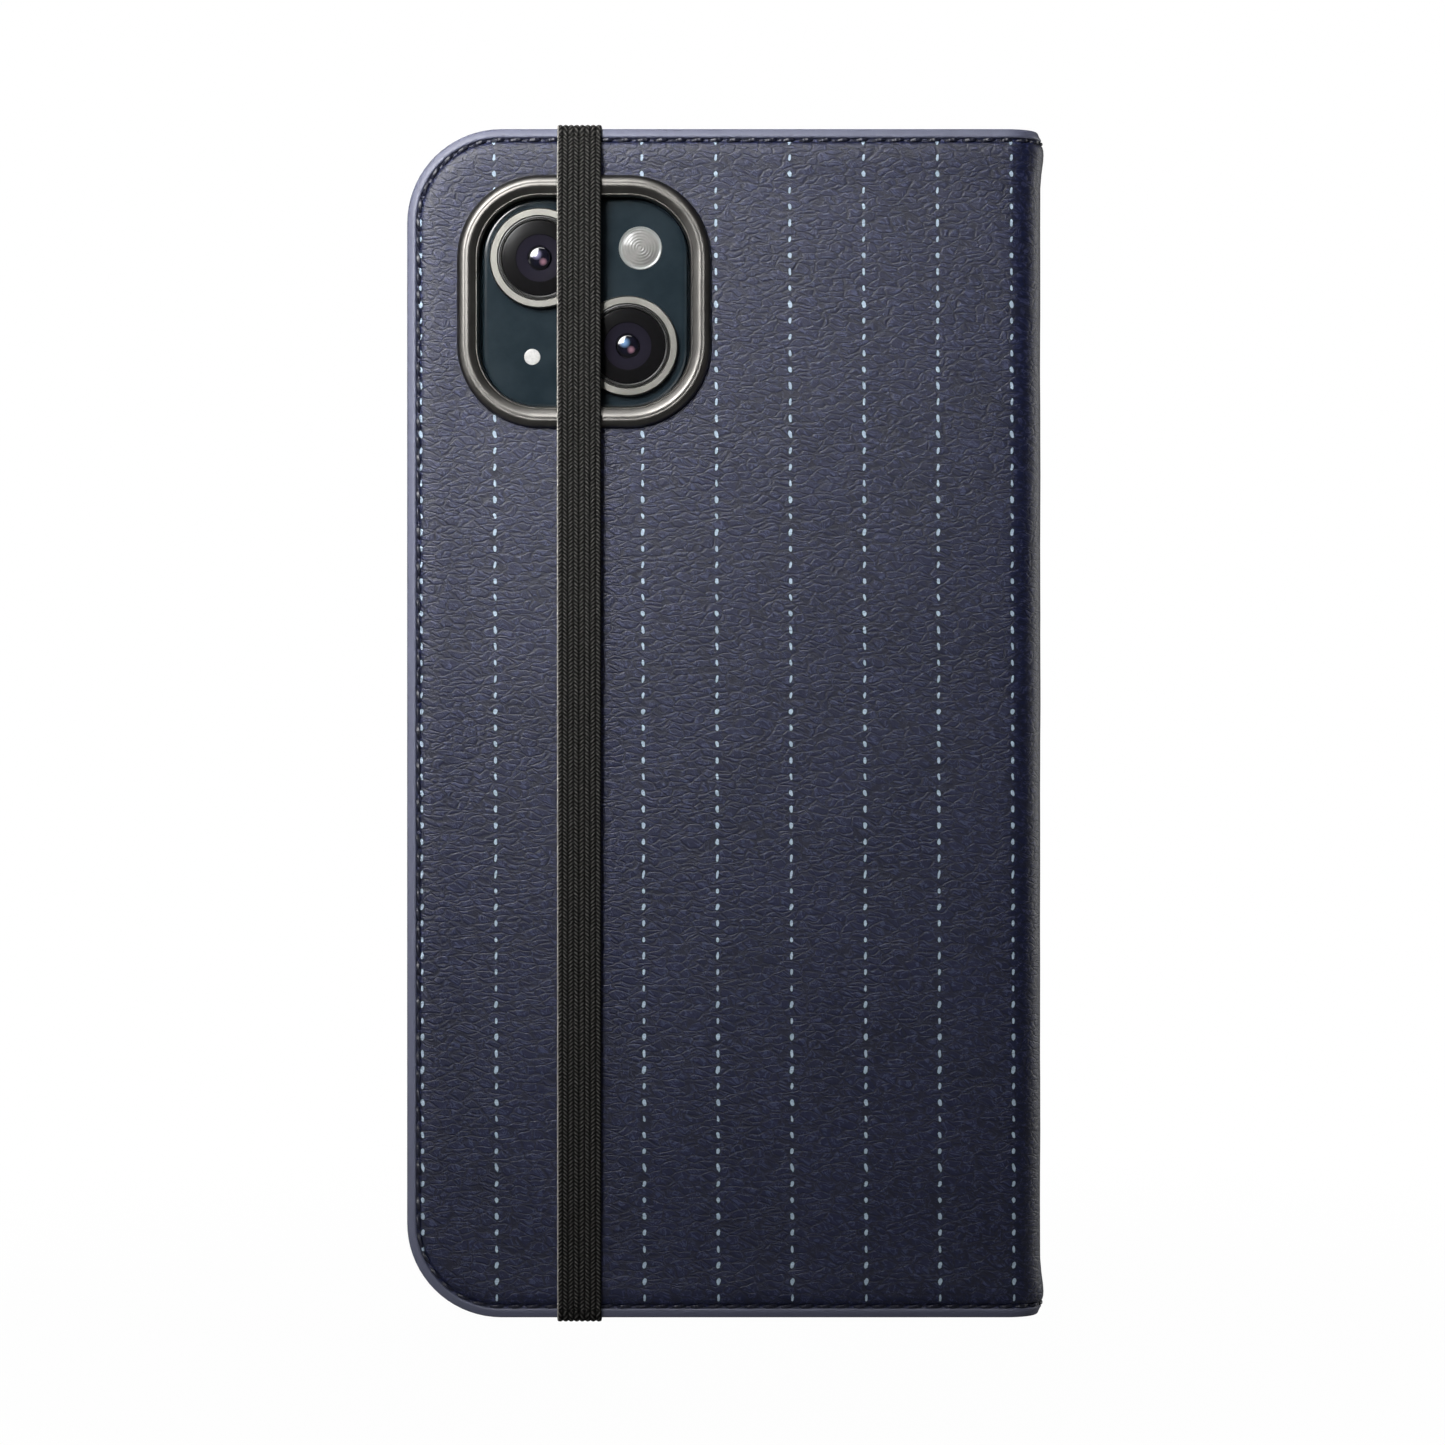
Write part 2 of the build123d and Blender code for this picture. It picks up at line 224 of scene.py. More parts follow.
def arc(x, z, radius, start, end, count):
    """count + 1 points along an arc about (x, z), with its angles in degrees."""
    turns = steps(math.radians(start), math.radians(end), count)
    return [(x + radius * math.cos(turn), z + radius * math.sin(turn)) for turn in turns]


# Shaders


class Value:
    """An output of a shader node. Arithmetic on it makes math nodes."""

    def __init__(self, shader, socket):
        self.shader = shader
        self.socket = socket

    def __add__(self, other):
        return self.shader.math("ADD", self, other)

    def __sub__(self, other):
        return self.shader.math("SUBTRACT", self, other)

    def __rsub__(self, other):
        return self.shader.math("SUBTRACT", other, self)

    def __mul__(self, other):
        return self.shader.math("MULTIPLY", self, other)

    def __truediv__(self, other):
        return self.shader.math("DIVIDE", self, other)

    def __pow__(self, other):
        return self.shader.math("POWER", self, other)

    def __abs__(self):
        return self.shader.math("ABSOLUTE", self)


class Shader:
    """A node material, with short calls for the nodes that the materials share."""

    def __init__(self, name):
        self.material = bpy.data.materials.new(name)
        self.material.use_nodes = True
        self.tree = self.material.node_tree
        self.surface = self.tree.nodes["Principled BSDF"]

    def node(self, kind, **settings):
        made = self.tree.nodes.new(kind)
        for key, value in settings.items():
            setattr(made, key, value)
        return made

    def put(self, socket, value):
        """Links value to a socket if it is another node's output, and sets it otherwise."""
        if isinstance(value, Value):
            self.tree.links.new(value.socket, socket)
        else:
            socket.default_value = value

    def fill(self, node, output, **inputs):
        """Puts values into a node's named inputs, and gives one of its outputs."""
        for name, value in inputs.items():
            self.put(node.inputs[name.replace("_", " ")], value)
        return Value(self, node.outputs[output])

    def feed(self, node, *values):
        """Puts values into a node's first inputs, in order, and gives its first output."""
        for socket, value in zip(node.inputs, values):
            self.put(socket, value)
        return Value(self, node.outputs[0])

    def set(self, **inputs):
        self.fill(self.surface, 0, **inputs)

    def uv(self, name):
        return self.fill(self.node("ShaderNodeUVMap", uv_map=name), 0)

    def place(self):
        """A point of the piece at rest, in millimetres."""
        spot = self.fill(self.node("ShaderNodeTexCoord"), "Object")
        return self.scaled(spot, (1 / MM, 1 / MM, 1 / MM))

    def scaled(self, vector, scale, turn=0.0):
        node = self.node("ShaderNodeMapping", vector_type="POINT")
        return self.fill(node, 0, Vector=vector, Scale=scale, Rotation=(0, 0, math.radians(turn)))

    def shifted(self, vector, shift):
        return self.feed(self.node("ShaderNodeVectorMath", operation="ADD"), vector, shift)

    def math(self, operation, *values):
        return self.feed(self.node("ShaderNodeMath", operation=operation), *values)

    def length(self, x, y):
        return self.math("SQRT", x**2.0 + y**2.0)

    def wave(self, value):
        return self.math("SINE", value)

    def within(self, value, pitch):
        """Where a count of repeats is within its own repeat, from minus to plus half a pitch."""
        return (self.math("FRACT", value) - 0.5) * pitch

    def split(self, vector):
        node = self.node("ShaderNodeSeparateXYZ")
        self.feed(node, vector)
        return [Value(self, socket) for socket in node.outputs]

    def join(self, x, y, z):
        return self.feed(self.node("ShaderNodeCombineXYZ"), x, y, z)

    def noise(self, vector, scale, detail=2.0, roughness=0.5, distortion=0.0):
        node = self.node("ShaderNodeTexNoise")
        self.fill(node, 0, Vector=vector, Scale=scale, Detail=detail)
        return self.fill(node, 0, Roughness=roughness, Distortion=distortion)

    def cell_edges(self, vector, scale):
        """Distance to the nearest edge of a pattern of cells."""
        node = self.node("ShaderNodeTexVoronoi", feature="DISTANCE_TO_EDGE")
        return self.fill(node, 0, Vector=vector, Scale=scale)

    def span(self, value, low, high, to_low=0.0, to_high=1.0):
        """value taken from the range low to high onto to_low to to_high, eased at both ends."""
        node = self.node("ShaderNodeMapRange", interpolation_type="SMOOTHSTEP", clamp=True)
        return self.feed(node, value, low, high, to_low, to_high)

    def blend(self, factor, first, second):
        """The colour first where factor is 0, and second where it is 1."""
        node = self.node("ShaderNodeMix", data_type="RGBA")
        self.put(node.inputs["Factor"], factor)
        self.put(node.inputs[6], first)
        self.put(node.inputs[7], second)
        return Value(self, node.outputs[2])

    def bump(self, height, distance, strength=1.0):
        """A bump of height, 0 to 1, that stands distance millimetres proud."""
        node = self.node("ShaderNodeBump")
        return self.fill(node, 0, Height=height, Distance=distance * MM, Strength=strength)


def leather_grain(shader, spot):
    """Shallow pebbles between slanting creases: (creases, pebbles, short squiggles), each 0 to 1."""
    warp = shader.noise(spot, 0.35, detail=2)
    bent = shader.shifted(spot, shader.join(warp * 2.2, warp * -1.7, 0.0))
    slanted = shader.scaled(bent, (0.42, 0.95, 1.0), turn=-38)
    creases = shader.span(shader.cell_edges(slanted, 1.15), 0.0, 0.16)
    pebbles = shader.noise(bent, 1.5, detail=4, roughness=0.55)
    contour = shader.noise(shader.scaled(bent, (1.0, 1.5, 1.0), turn=25), 0.5, detail=3, distortion=0.7)
    line = shader.span(shader.wave(contour * 46.0), 0.05, 0.75)
    broken = shader.span(shader.noise(bent, 1.1, detail=2), 0.4, 0.56)
    return creases, pebbles, line * broken


def dash_print(shader, spot):
    """Rows of small pale dashes in lines up the sheet, one blob shape to each row: (dash, halo)."""
    s, z, _ = shader.split(spot)
    line = (s - (TOP - z) * STRIPE_LEAN - STRIPE_START) / STRIPE_PITCH + 0.5
    across = shader.within(line, STRIPE_PITCH)
    on_spine = shader.math("GREATER_THAN", s, SHEET_END - 0.45 * STRIPE_PITCH)
    across = across + on_spine * (s - SHEET_END - across)
    count = z / DASH_PITCH
    along = shader.within(count, DASH_PITCH)
    row = shader.math("FLOOR", count)
    chance = shader.node("ShaderNodeTexWhiteNoise", noise_dimensions="1D")
    width, height, turn = shader.split(shader.fill(chance, "Color", W=row))
    half_width = shader.span(width, 0.0, 1.0, DASH_HALF_WIDTH * 0.8, DASH_HALF_WIDTH * 1.25)
    half_height = shader.span(height, 0.0, 1.0, DASH_HALF_HEIGHT * 0.8, DASH_HALF_HEIGHT * 1.15)
    leaned = across - along * ((turn - 0.5) * 0.4)
    blob = shader.noise(shader.join(across, along, row * 3.7), 2.2, detail=1)
    reach = (leaned / half_width) ** 2.0 + abs(along / half_height) ** 2.6
    reach = shader.math("SQRT", reach) + (blob - 0.5) * 0.9
    return shader.span(reach, 0.88, 1.12, 1.0, 0.0), shader.span(reach, 1.0, 2.1, 1.0, 0.0)


def leather():
    """Navy pebbled leather with a pale print, which stops short of the rolled rim."""
    shader = Shader("navy_leather")
    spot = shader.uv("sheet")
    creases, pebbles, squiggles = leather_grain(shader, spot)
    dash, halo = dash_print(shader, spot)
    cloud = shader.noise(spot, 0.09, detail=5, roughness=0.6)
    colour = shader.blend(shader.span(cloud, 0.38, 0.62), srgb(6, 14, 46), srgb(12, 19, 52))
    colour = shader.blend(squiggles, colour, srgb(45, 49, 80))
    # The grain's creases are painted darker: painted shade in the creases.
    colour = shader.blend(shader.span(creases, 0.0, 1.0, 0.55, 0.0), colour, srgb(7, 9, 21))
    rim = shader.span(shader.split(shader.uv("rim"))[0], 1.2, 1.5, 1.0, 0.0)
    printed = 1.0 - rim
    colour = shader.blend(rim * 0.9, colour, srgb(94, 97, 117))
    colour = shader.blend(halo * printed * 0.75, colour, srgb(9, 25, 37))
    colour = shader.blend(dash * printed * 0.96, colour, srgb(158, 176, 194))
    fine = shader.noise(spot, 5.0, detail=4, roughness=0.65)
    height = creases * 0.26 + pebbles * 0.36 + squiggles * 0.1 + fine * 0.28
    roughness = shader.span(pebbles, 0.3, 0.7, 0.5, 0.42) + dash * 0.12
    shader.set(Base_Color=colour, Roughness=roughness, Specular_IOR_Level=0.5)
    shader.set(Normal=shader.bump(height * (1.0 - rim * 0.7), 0.16, 0.75))
    return shader.material


def thread(name, colour):
    """Waxed thread: fine slanting plies along each stitch."""
    shader = Shader(name)
    s, z, _ = shader.split(shader.uv("sheet"))
    ply = shader.wave(s * 9.0 + z * 1.3) * 0.5 + 0.5
    fuzz = shader.noise(shader.place(), 6.0, detail=3)
    # The crest of each ply is painted lighter: a painted highlight along the plies.
    shader.set(Base_Color=shader.blend(ply * fuzz, colour, toned(colour, 2.1, 0.004)))
    shader.set(Roughness=0.42, Normal=shader.bump(ply, 0.06, 0.8))
    return shader.material


def elastic():
    """Black braided elastic: herringbone ribs that run its length."""
    shader = Shader("braided_elastic")
    across, along, _ = shader.split(shader.uv("weave"))
    pair = across / STRAP_WIDTH * (STRAP_RIBS / 2)
    slope = shader.span(shader.math("FRACT", pair), 0.48, 0.52, 0.8, -0.8)
    wobble = shader.noise(shader.join(across, along, 0.0), 1.3, detail=2)
    count = (along - across * slope) / STRAND_PITCH + wobble * 0.5
    strand = (shader.wave(count * math.tau) * 0.5 + 0.5) ** 2.0
    groove = abs(shader.wave(pair * math.tau)) ** 1.2
    weight = (strand * 0.94 + 0.06) * groove
    fuzz = shader.noise(shader.uv("weave"), 9.0, detail=3, roughness=0.7)
    # The valleys between the ribs are painted near black and the strands' crests pale: painted shade
    # between the ribs and painted highlights on the strands.
    colour = shader.blend(weight, srgb(1, 1, 1), srgb(92, 91, 88))
    colour = shader.blend(shader.span(fuzz, 0.56, 0.8, 0.0, 0.3), colour, srgb(84, 83, 79))
    # The strap's left edge is painted pale: a painted highlight along that edge.
    colour = shader.blend(shader.span(across, 0.12, 0.24, 0.9, 0.0), colour, srgb(168, 165, 159))
    shader.set(Base_Color=colour, Roughness=0.75, Specular_IOR_Level=0.15)
    shader.set(Normal=shader.bump(weight * 0.85 + fuzz * 0.15, 0.24))
    return shader.material


def metal(name, colour, roughness):
    """Polished metal with faint fine scratches and smudges."""
    shader = Shader(name)
    spot = shader.place()
    smudge = shader.noise(spot, 0.35, detail=4, roughness=0.6)
    scratch = shader.noise(shader.scaled(spot, (6.0, 6.0, 0.6)), 1.0, detail=2)
    shader.set(Base_Color=shader.blend(shader.span(smudge, 0.3, 0.7), toned(colour, 0.82), colour))
    shader.set(Metallic=1.0, Roughness=(smudge - 0.5) * 0.06 + roughness)
    shader.set(Normal=shader.bump(scratch, 0.001, 0.12))
    return shader.material


def glass(name, colour, roughness):
    """Polished glass over an opaque colour, with faint smudges."""
    shader = Shader(name)
    smudge = shader.noise(shader.place(), 0.16, detail=5, roughness=0.65)
    lighter = toned(colour, 1.25, 0.002)
    shader.set(Base_Color=shader.blend(shader.span(smudge, 0.35, 0.65), colour, lighter))
    shader.set(Roughness=shader.span(smudge, 0.3, 0.8, roughness, roughness + 0.05))
    return shader.material


def lens_glass():
    """A lens seen from outside: black surround and a dim violet iris round the dark rim of the pupil."""
    shader = Shader("lens_glass")
    across, up, _ = shader.split(shader.uv("disc"))
    out = shader.length(across, up)
    surround = shader.blend(shader.span(out, 3.3, 3.5), srgb(24, 22, 30), srgb(12, 12, 10))
    iris = shader.blend(shader.span(out, 1.9, 3.4), srgb(26, 24, 33), surround)
    colour = shader.blend(shader.span(out, 1.62, 1.78), srgb(6, 6, 9), iris)
    speck = shader.noise(shader.uv("disc"), 1.4, detail=4)
    colour = shader.blend(speck * 0.12, colour, srgb(50, 47, 60))
    shader.set(Base_Color=colour, Roughness=0.16, Specular_IOR_Level=0.14)
    return shader.material


def pupil(tint, gleam):
    """The front element at the middle of a lens, with a soft gleam above and a warm one below."""
    shader = Shader("lens_pupil_" + tint)
    across, up, _ = shader.split(shader.uv("disc"))

    def glint(x, y, near, far):
        return shader.span(shader.length(across - x, up - y), near, far, 1.0, 0.0)

    cloud = shader.noise(shader.uv("disc"), 0.9, detail=2)
    colour = shader.blend(shader.span(cloud, 0.35, 0.65), srgb(9, 9, 17), srgb(20, 20, 34))
    colour = shader.blend(glint(-0.45, 0.5, 0.1, 0.95) * 0.9, colour, gleam)
    colour = shader.blend(glint(0.5, -0.55, 0.05, 0.7) * 0.8, colour, srgb(142, 106, 118))
    shader.set(Base_Color=shader.blend(glint(0, 0, 1.05, 1.6), srgb(3, 3, 6), colour), Roughness=0.12)
    shader.set(Coat_Weight=0.7, Coat_Roughness=0.03)
    return shader.material


def flash_lens():
    """A frosted flash window with faint rings moulded in it, and a painted reflection that is lighter and
    darker by angle round its middle.
    """
    shader = Shader("flash_lens")
    across, up, _ = shader.split(shader.uv("disc"))
    out = shader.length(across, up)
    # Lighter and darker by angle round the middle: a painted reflection.
    painted_conic_reflection = shader.wave(shader.math("ARCTAN2", up, across) * 2.0)
    cloud = shader.noise(shader.uv("disc"), 0.8, detail=3)
    tone = (painted_conic_reflection * 0.35 + 0.5) * shader.span(cloud, 0.3, 0.7, 0.7, 1.0)
    colour = shader.blend(tone, srgb(88, 88, 86), srgb(136, 135, 132))
    colour = shader.blend(shader.span(out, 2.55, 2.75), colour, srgb(130, 133, 131))
    shader.set(Base_Color=colour, Roughness=0.3, Coat_Weight=0.3, Coat_Roughness=0.06)
    shader.set(Normal=shader.bump(shader.wave(out * 15.0), 0.03, 0.5))
    return shader.material


def gel():
    """Smoky soft gel: satin, a little see-through, with faint flow marks."""
    shader = Shader("smoky_gel")
    spot = shader.place()
    flow = shader.noise(shader.scaled(spot, (0.08, 0.3, 0.05)), 1.0, detail=3, distortion=0.6)
    fine = shader.noise(spot, 3.0, detail=4, roughness=0.6)
    colour = shader.blend(shader.span(flow, 0.3, 0.7), srgb(38, 42, 48), srgb(58, 62, 69))
    shader.set(Base_Color=colour, Roughness=shader.span(fine, 0.3, 0.7, 0.3, 0.46), IOR=1.48)
    shader.set(Subsurface_Weight=0.15, Subsurface_Scale=0.002, Normal=shader.bump(fine, 0.02, 0.5))
    return shader.material


def microfibre():
    """Soft grey lining with a short brushed nap."""
    shader = Shader("microfibre")
    spot = shader.place()
    nap = shader.noise(shader.scaled(spot, (3.0, 3.0, 1.2), turn=10), 1.0, detail=5, roughness=0.7)
    brushed = shader.noise(spot, 0.06, detail=3, distortion=1.0)
    colour = shader.blend(shader.span(nap, 0.3, 0.7), srgb(74, 78, 88), srgb(104, 108, 118))
    colour = shader.blend(shader.span(brushed, 0.4, 0.6, 0.0, 0.35), colour, srgb(62, 65, 75))
    shader.set(Base_Color=colour, Roughness=0.9, Sheen_Weight=0.5, Sheen_Roughness=0.5)
    shader.set(Normal=shader.bump(nap, 0.08, 0.8))
    return shader.material


def plain(name, colour, roughness, grain_scale=1.5, grain=0.03):
    """A moulded or pressed material with a fine even grain."""
    shader = Shader(name)
    grit = shader.noise(shader.place(), grain_scale, detail=4, roughness=0.6)
    shader.set(Base_Color=shader.blend(shader.span(grit, 0.3, 0.7), toned(colour, 0.8), colour))
    shader.set(Roughness=shader.span(grit, 0.3, 0.7, roughness, roughness + 0.08))
    shader.set(Normal=shader.bump(grit, grain, 0.6))
    return shader.material


# Meshes


def finish_mesh(name, bm, material, scale=MM, angle=40):
    """Turns a bmesh in millimetres into an object in metres."""
    bmesh.ops.recalc_face_normals(bm, faces=bm.faces)
    bmesh.ops.scale(bm, vec=(scale, scale, scale), verts=bm.verts)
    mesh = bpy.data.meshes.new(name)
    bm.to_mesh(mesh)
    bm.free()
    mesh.materials.append(material)
    mesh.shade_smooth()
    mesh.set_sharp_from_angle(angle=math.radians(angle))
    piece = bpy.data.objects.new(name, mesh)
    bpy.context.scene.collection.objects.link(piece)
    return piece


def skin_rings(bm, rings, closed=False, cap=False):
    """Joins rings of points, all of one length, with quads. cap closes both ends."""
    made = [[bm.verts.new(point) for point in ring] for ring in rings]
    for first, second in zip(made, made[1:]):
        count = len(first)
        for k in range(count if closed else count - 1):
            after = (k + 1) % count
            bm.faces.new((first[k], first[after], second[after], second[k]))
    if cap:
        bm.faces.new(made[0])
        bm.faces.new(reversed(made[-1]))
    return made


def fill_between(bm, *rings):
    """Fills the flat face that the first ring of vertices goes round, less the rings inside it."""
    edges = []
    for ring in rings:
        edges += [bm.edges.get(pair) for pair in zip(ring, ring[1:] + ring[:1])]
    bmesh.ops.triangle_fill(bm, use_beauty=True, edges=edges)


def weld(bm, distance):
    """Merges vertices that lie together, and closes what is still open."""
    bmesh.ops.remove_doubles(bm, verts=bm.verts, dist=distance)
    open_edges = [edge for edge in bm.edges if edge.is_boundary]
    if open_edges:
        bmesh.ops.contextual_create(bm, geom=open_edges)


def set_uv(bm, name, place):
    """Gives every corner the UV that place says for its vertex."""
    layer = bm.loops.layers.uv.new(name)
    for face in bm.faces:
        for loop in face.loops:
            loop[layer].uv = place(loop.vert)


def flat_place(vertex):
    return vertex.co.xy


def on_sheet(point, mirrored=False):
    """Where a point of the unrolled sheet lies on the closed case. point is (s, z, depth)."""
    s, z, depth = point
    if s <= SHEET_FLAT:
        x, y = LEFT + s, BACK + depth
    elif s < SHEET_FLAT + SHEET_BEND:
        turn = (s - SHEET_FLAT) / CREASE_RADIUS
        radius = CREASE_RADIUS - depth
        x = RIGHT - CREASE_RADIUS + radius * math.sin(turn)
        y = BACK + CREASE_RADIUS - radius * math.cos(turn)
    else:
        x, y = RIGHT - depth, BACK + CREASE_RADIUS + s - SHEET_FLAT - SHEET_BEND
    return Vector((x, BACK + FRONT - y if mirrored else y, z))


def roll_up(name, bm, mirrored, material):
    """Rolls what was laid out on the sheet round the case."""
    for vertex in bm.verts:
        vertex.co = on_sheet(vertex.co, mirrored)
    piece = finish_mesh(name, bm, material)
    start = ((RIGHT - CREASE_RADIUS) * MM, BACK * MM, 0)
    end = (RIGHT * MM, (BACK + CREASE_RADIUS) * MM, 0)
    if mirrored:
        start, end = [(p[0], (BACK + FRONT) * MM - p[1], p[2]) for p in (end, start)]
        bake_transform(piece)
        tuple(start)
        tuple(end)
    else:
        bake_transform(piece)
        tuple(start)
        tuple(end)
    return piece


CREASE_COLUMNS = steps(SHEET_FLAT, SHEET_END, 24)
FLAT_COLUMNS = steps(CORNER_RADIUS, SHEET_FLAT, 28)
SIDE_ROWS = steps(BOTTOM + CORNER_RADIUS, TOP - CORNER_RADIUS, 56)
CREASE_ROWS = [BOTTOM + RING_INSET] + SIDE_ROWS + [TOP - RING_INSET]
CORNER_STEPS = 18


def free_edge(inset):
    """The sheet's free edge, from mid-spine round both corners and back, moved in by inset."""
    columns = FLAT_COLUMNS + CREASE_COLUMNS[1:]
    radius = CORNER_RADIUS - inset
    path = [(s, TOP - inset) for s in reversed(columns)]
    path += arc(CORNER_RADIUS, TOP - CORNER_RADIUS, radius, 90, 180, CORNER_STEPS)[1:-1]
    path += [(inset, z) for z in reversed(SIDE_ROWS)]
    path += arc(CORNER_RADIUS, BOTTOM + CORNER_RADIUS, radius, 180, 270, CORNER_STEPS)[1:-1]
    return path + [(s, BOTTOM + inset) for s in columns]


def softened(s, z, inset, depth):
    """Depth of the outer face with the leather's unevenness and the bulge at the spine's ends."""
    wave = noise.noise(Vector((s * 0.07, z * 0.07, 3.0)))
    wave += 0.5 * noise.noise(Vector((s * 0.21, z * 0.21, 7.0)))
    depth -= SOFTNESS * wave * smooth(2.0, 5.0, inset)
    bulge = smooth(0.4, 2.2, inset) * (1 - smooth(2.4, 7.5, inset))
    return depth - SPINE_END_BULGE * bulge * smooth(SHEET_FLAT + 2, SHEET_FLAT + SHEET_BEND, s)


def thinner(s, depth):
    """Depth on the inner side, where the crease is thinner than the boarded cover."""
    share = smooth(SHEET_FLAT - 1.5, SHEET_FLAT + 1.0, s)
    return depth + (min(depth, CREASE_THICKNESS) - depth) * share


def rounded_loop(x, z, width, height, radius, count=20):
    """A rounded rectangle as a loop of points, anticlockwise."""
    points = []
    for side_x, side_z, start in ((1, 1, 0), (-1, 1, 90), (-1, -1, 180), (1, -1, 270)):
        corner_x = x + side_x * (width / 2 - radius)
        corner_z = z + side_z * (height / 2 - radius)
        points += arc(corner_x, corner_z, radius, start, start + 90, count)
    return points


def window_loop(grow, radius, count=20):
    """The outline of the camera window, wider and higher by grow."""
    spot = middle("camera_bezel")
    return rounded_loop(spot.x, spot.z, WINDOW_WIDTH + grow, WINDOW_HEIGHT + grow, radius, count)


def inside_loop(point, loop):
    """True if a point is inside a convex anticlockwise loop."""
    pairs = zip(loop, loop[1:] + loop[:1])
    return all(
        (b[0] - a[0]) * (point[1] - a[1]) - (b[1] - a[1]) * (point[0] - a[0]) >= 0 for a, b in pairs
    )


def edge_distance(s, z):
    """How far a point of the sheet is from its nearest free edge."""
    end = min(z - BOTTOM, TOP - z)
    if s < CORNER_RADIUS and end < CORNER_RADIUS:
        return CORNER_RADIUS - math.hypot(CORNER_RADIUS - s, CORNER_RADIUS - end)
    return min(s, end)


def page_triangles(hole, spacing):
    """The flat part of the sheet inside the rim, as points and triangles, with an optional hole."""
    edge = [point for point in free_edge(RING_INSET) if point[0] <= SHEET_FLAT + 1e-6]
    edge += [(SHEET_FLAT, z) for z in SIDE_ROWS]
    fixed = [Vector(point) for point in edge + hole]
    constraints = []
    for first, last in ((0, len(edge)), (len(edge), len(fixed))):
        constraints += [(k, k + 1 if k + 1 < last else first) for k in range(first, last)]

    def on_page(point):
        return inside_loop(point, edge) and not (hole and inside_loop(point, hole))

    points = list(fixed)
    margin = RING_INSET + 1.5
    chance = random.Random(4)
    for s in steps(margin, SHEET_FLAT - 1.7, int(SHEET_FLAT / spacing)):
        for z in steps(BOTTOM + margin, TOP - margin, int(HEIGHT / spacing)):
            spot = Vector((s + chance.uniform(-0.4, 0.4), z + chance.uniform(-0.4, 0.4)))
            if on_page(spot) and all((spot - point).length_squared > 1.0 for point in fixed):
                points.append(spot)
    found = geometry.delaunay_2d_cdt(points, constraints, [], 0, 1e-5)
    verts, faces = found[0], found[2]
    kept = []
    for face in faces:
        centre = sum((verts[k] for k in face), Vector((0, 0))) / len(face)
        if on_page(centre):
            kept.append(face)
    return verts, kept


def close_page(bm, levels, hole, spacing):
    """Adds both faces of a sheet inside its rim, at the two levels, and the walls of its hole."""
    verts, faces = page_triangles(hole, spacing)
    for level in levels:
        made = [bm.verts.new((v.x, v.y, level(v.x, v.y))) for v in verts]
        for face in faces:
            bm.faces.new([made[k] for k in face])
        skin_rings(bm, [[(s, z, level(s, z)) for z in CREASE_ROWS] for s in CREASE_COLUMNS])
    if hole:
        skin_rings(bm, [[(s, z, level(s, z)) for s, z in hole] for level in levels], closed=True)
    weld(bm, 0.002)
    set_uv(bm, "sheet", flat_place)


def leather_sheet(name, mirrored, material, nodes):
    """Half of the leather: one cover with its rolled rim, its crease and half of the spine."""
    bm = bmesh.new()
    rings = []
    for inset, depth in RIM_INSIDE:
        rings.append([(s, z, thinner(s, depth)) for s, z in free_edge(inset)])
    for inset, depth in RIM_OUTSIDE:
        rings.append([(s, z, softened(s, z, inset, depth)) for s, z in free_edge(inset)])
    skin_rings(bm, rings)
    hole = []
    if not mirrored:
        low, high = corners("camera_bezel")
        width, height = high.x - low.x - 2 * BEZEL_OVERLAP, high.z - low.z - 2 * BEZEL_OVERLAP
        hole = rounded_loop((low.x + high.x) / 2 - LEFT, (low.z + high.z) / 2, width, height, 10.4)
    levels = (lambda s, z: softened(s, z, RING_INSET, 0.0), lambda s, z: thinner(s, BOARD_DEPTH))
    close_page(bm, levels, hole, spacing=3.4)
    set_uv(bm, "rim", lambda vertex: (edge_distance(vertex.co.x, vertex.co.y), 0))
    piece = roll_up(name, bm, mirrored, material)
    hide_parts(*nodes)


def lining_sheet(name, mirrored, material, nodes):
    """Half of the lining, from inside the turned edge of one cover, through its crease, to mid-spine."""
    bm = bmesh.new()

    def face(s, z):
        crease = smooth(SHEET_FLAT - 2, SHEET_FLAT + 1.5, s)
        spine = smooth(SHEET_FLAT + 5.5, SHEET_FLAT + SHEET_BEND, s)
        rise = SPINE_DEPTH - COVER + LINING_CREASE_RISE
        return COVER - LINING_CREASE_RISE * crease + rise * spine

    def root(s, z):
        return thinner(s, BOARD_DEPTH) + 0.02

    turned_in = LINING_INSET + 0.05
    section = [(RING_INSET, root), (turned_in, root), (turned_in, face), (LINING_INSET + 0.5, face)]
    section.append((RING_INSET, face))
    skin_rings(bm, [[(s, z, level(s, z)) for s, z in free_edge(inset)] for inset, level in section])
    hole = [] if mirrored else [(x - LEFT, z) for x, z in window_loop(0.6, 10.3)]
    close_page(bm, (face, root), hole, spacing=6.0)
    piece = roll_up(name, bm, mirrored, material)
    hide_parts(*nodes)


def seam_path(inset):
    """The seam, from mid-spine round both corners and back: (a point at a distance, whole length)."""
    radius = CORNER_RADIUS - inset

    def round_corner(centre_z, start, t):
        turn = start + t / radius
        ds, dz = math.cos(turn), math.sin(turn)
        return CORNER_RADIUS + radius * ds, centre_z + radius * dz, (-dz, ds)

    end = SHEET_END - CORNER_RADIUS
    corner = radius * math.pi / 2
    legs = [
        (end, lambda t: (SHEET_END - t, TOP - inset, (-1, 0))),
        (corner, lambda t: round_corner(TOP - CORNER_RADIUS, math.pi / 2, t)),
        (HEIGHT - 2 * CORNER_RADIUS, lambda t: (inset, TOP - CORNER_RADIUS - t, (0, -1))),
        (corner, lambda t: round_corner(BOTTOM + CORNER_RADIUS, math.pi, t)),
        (end, lambda t: (CORNER_RADIUS + t, BOTTOM + inset, (1, 0))),
    ]

    def at(t):
        """(s, z, direction) at a distance t along the seam."""
        for length, place in legs[:-1]:
            if t < length:
                return place(t)
            t -= length
        return legs[-1][1](t)

    return at, sum(length for length, _ in legs)


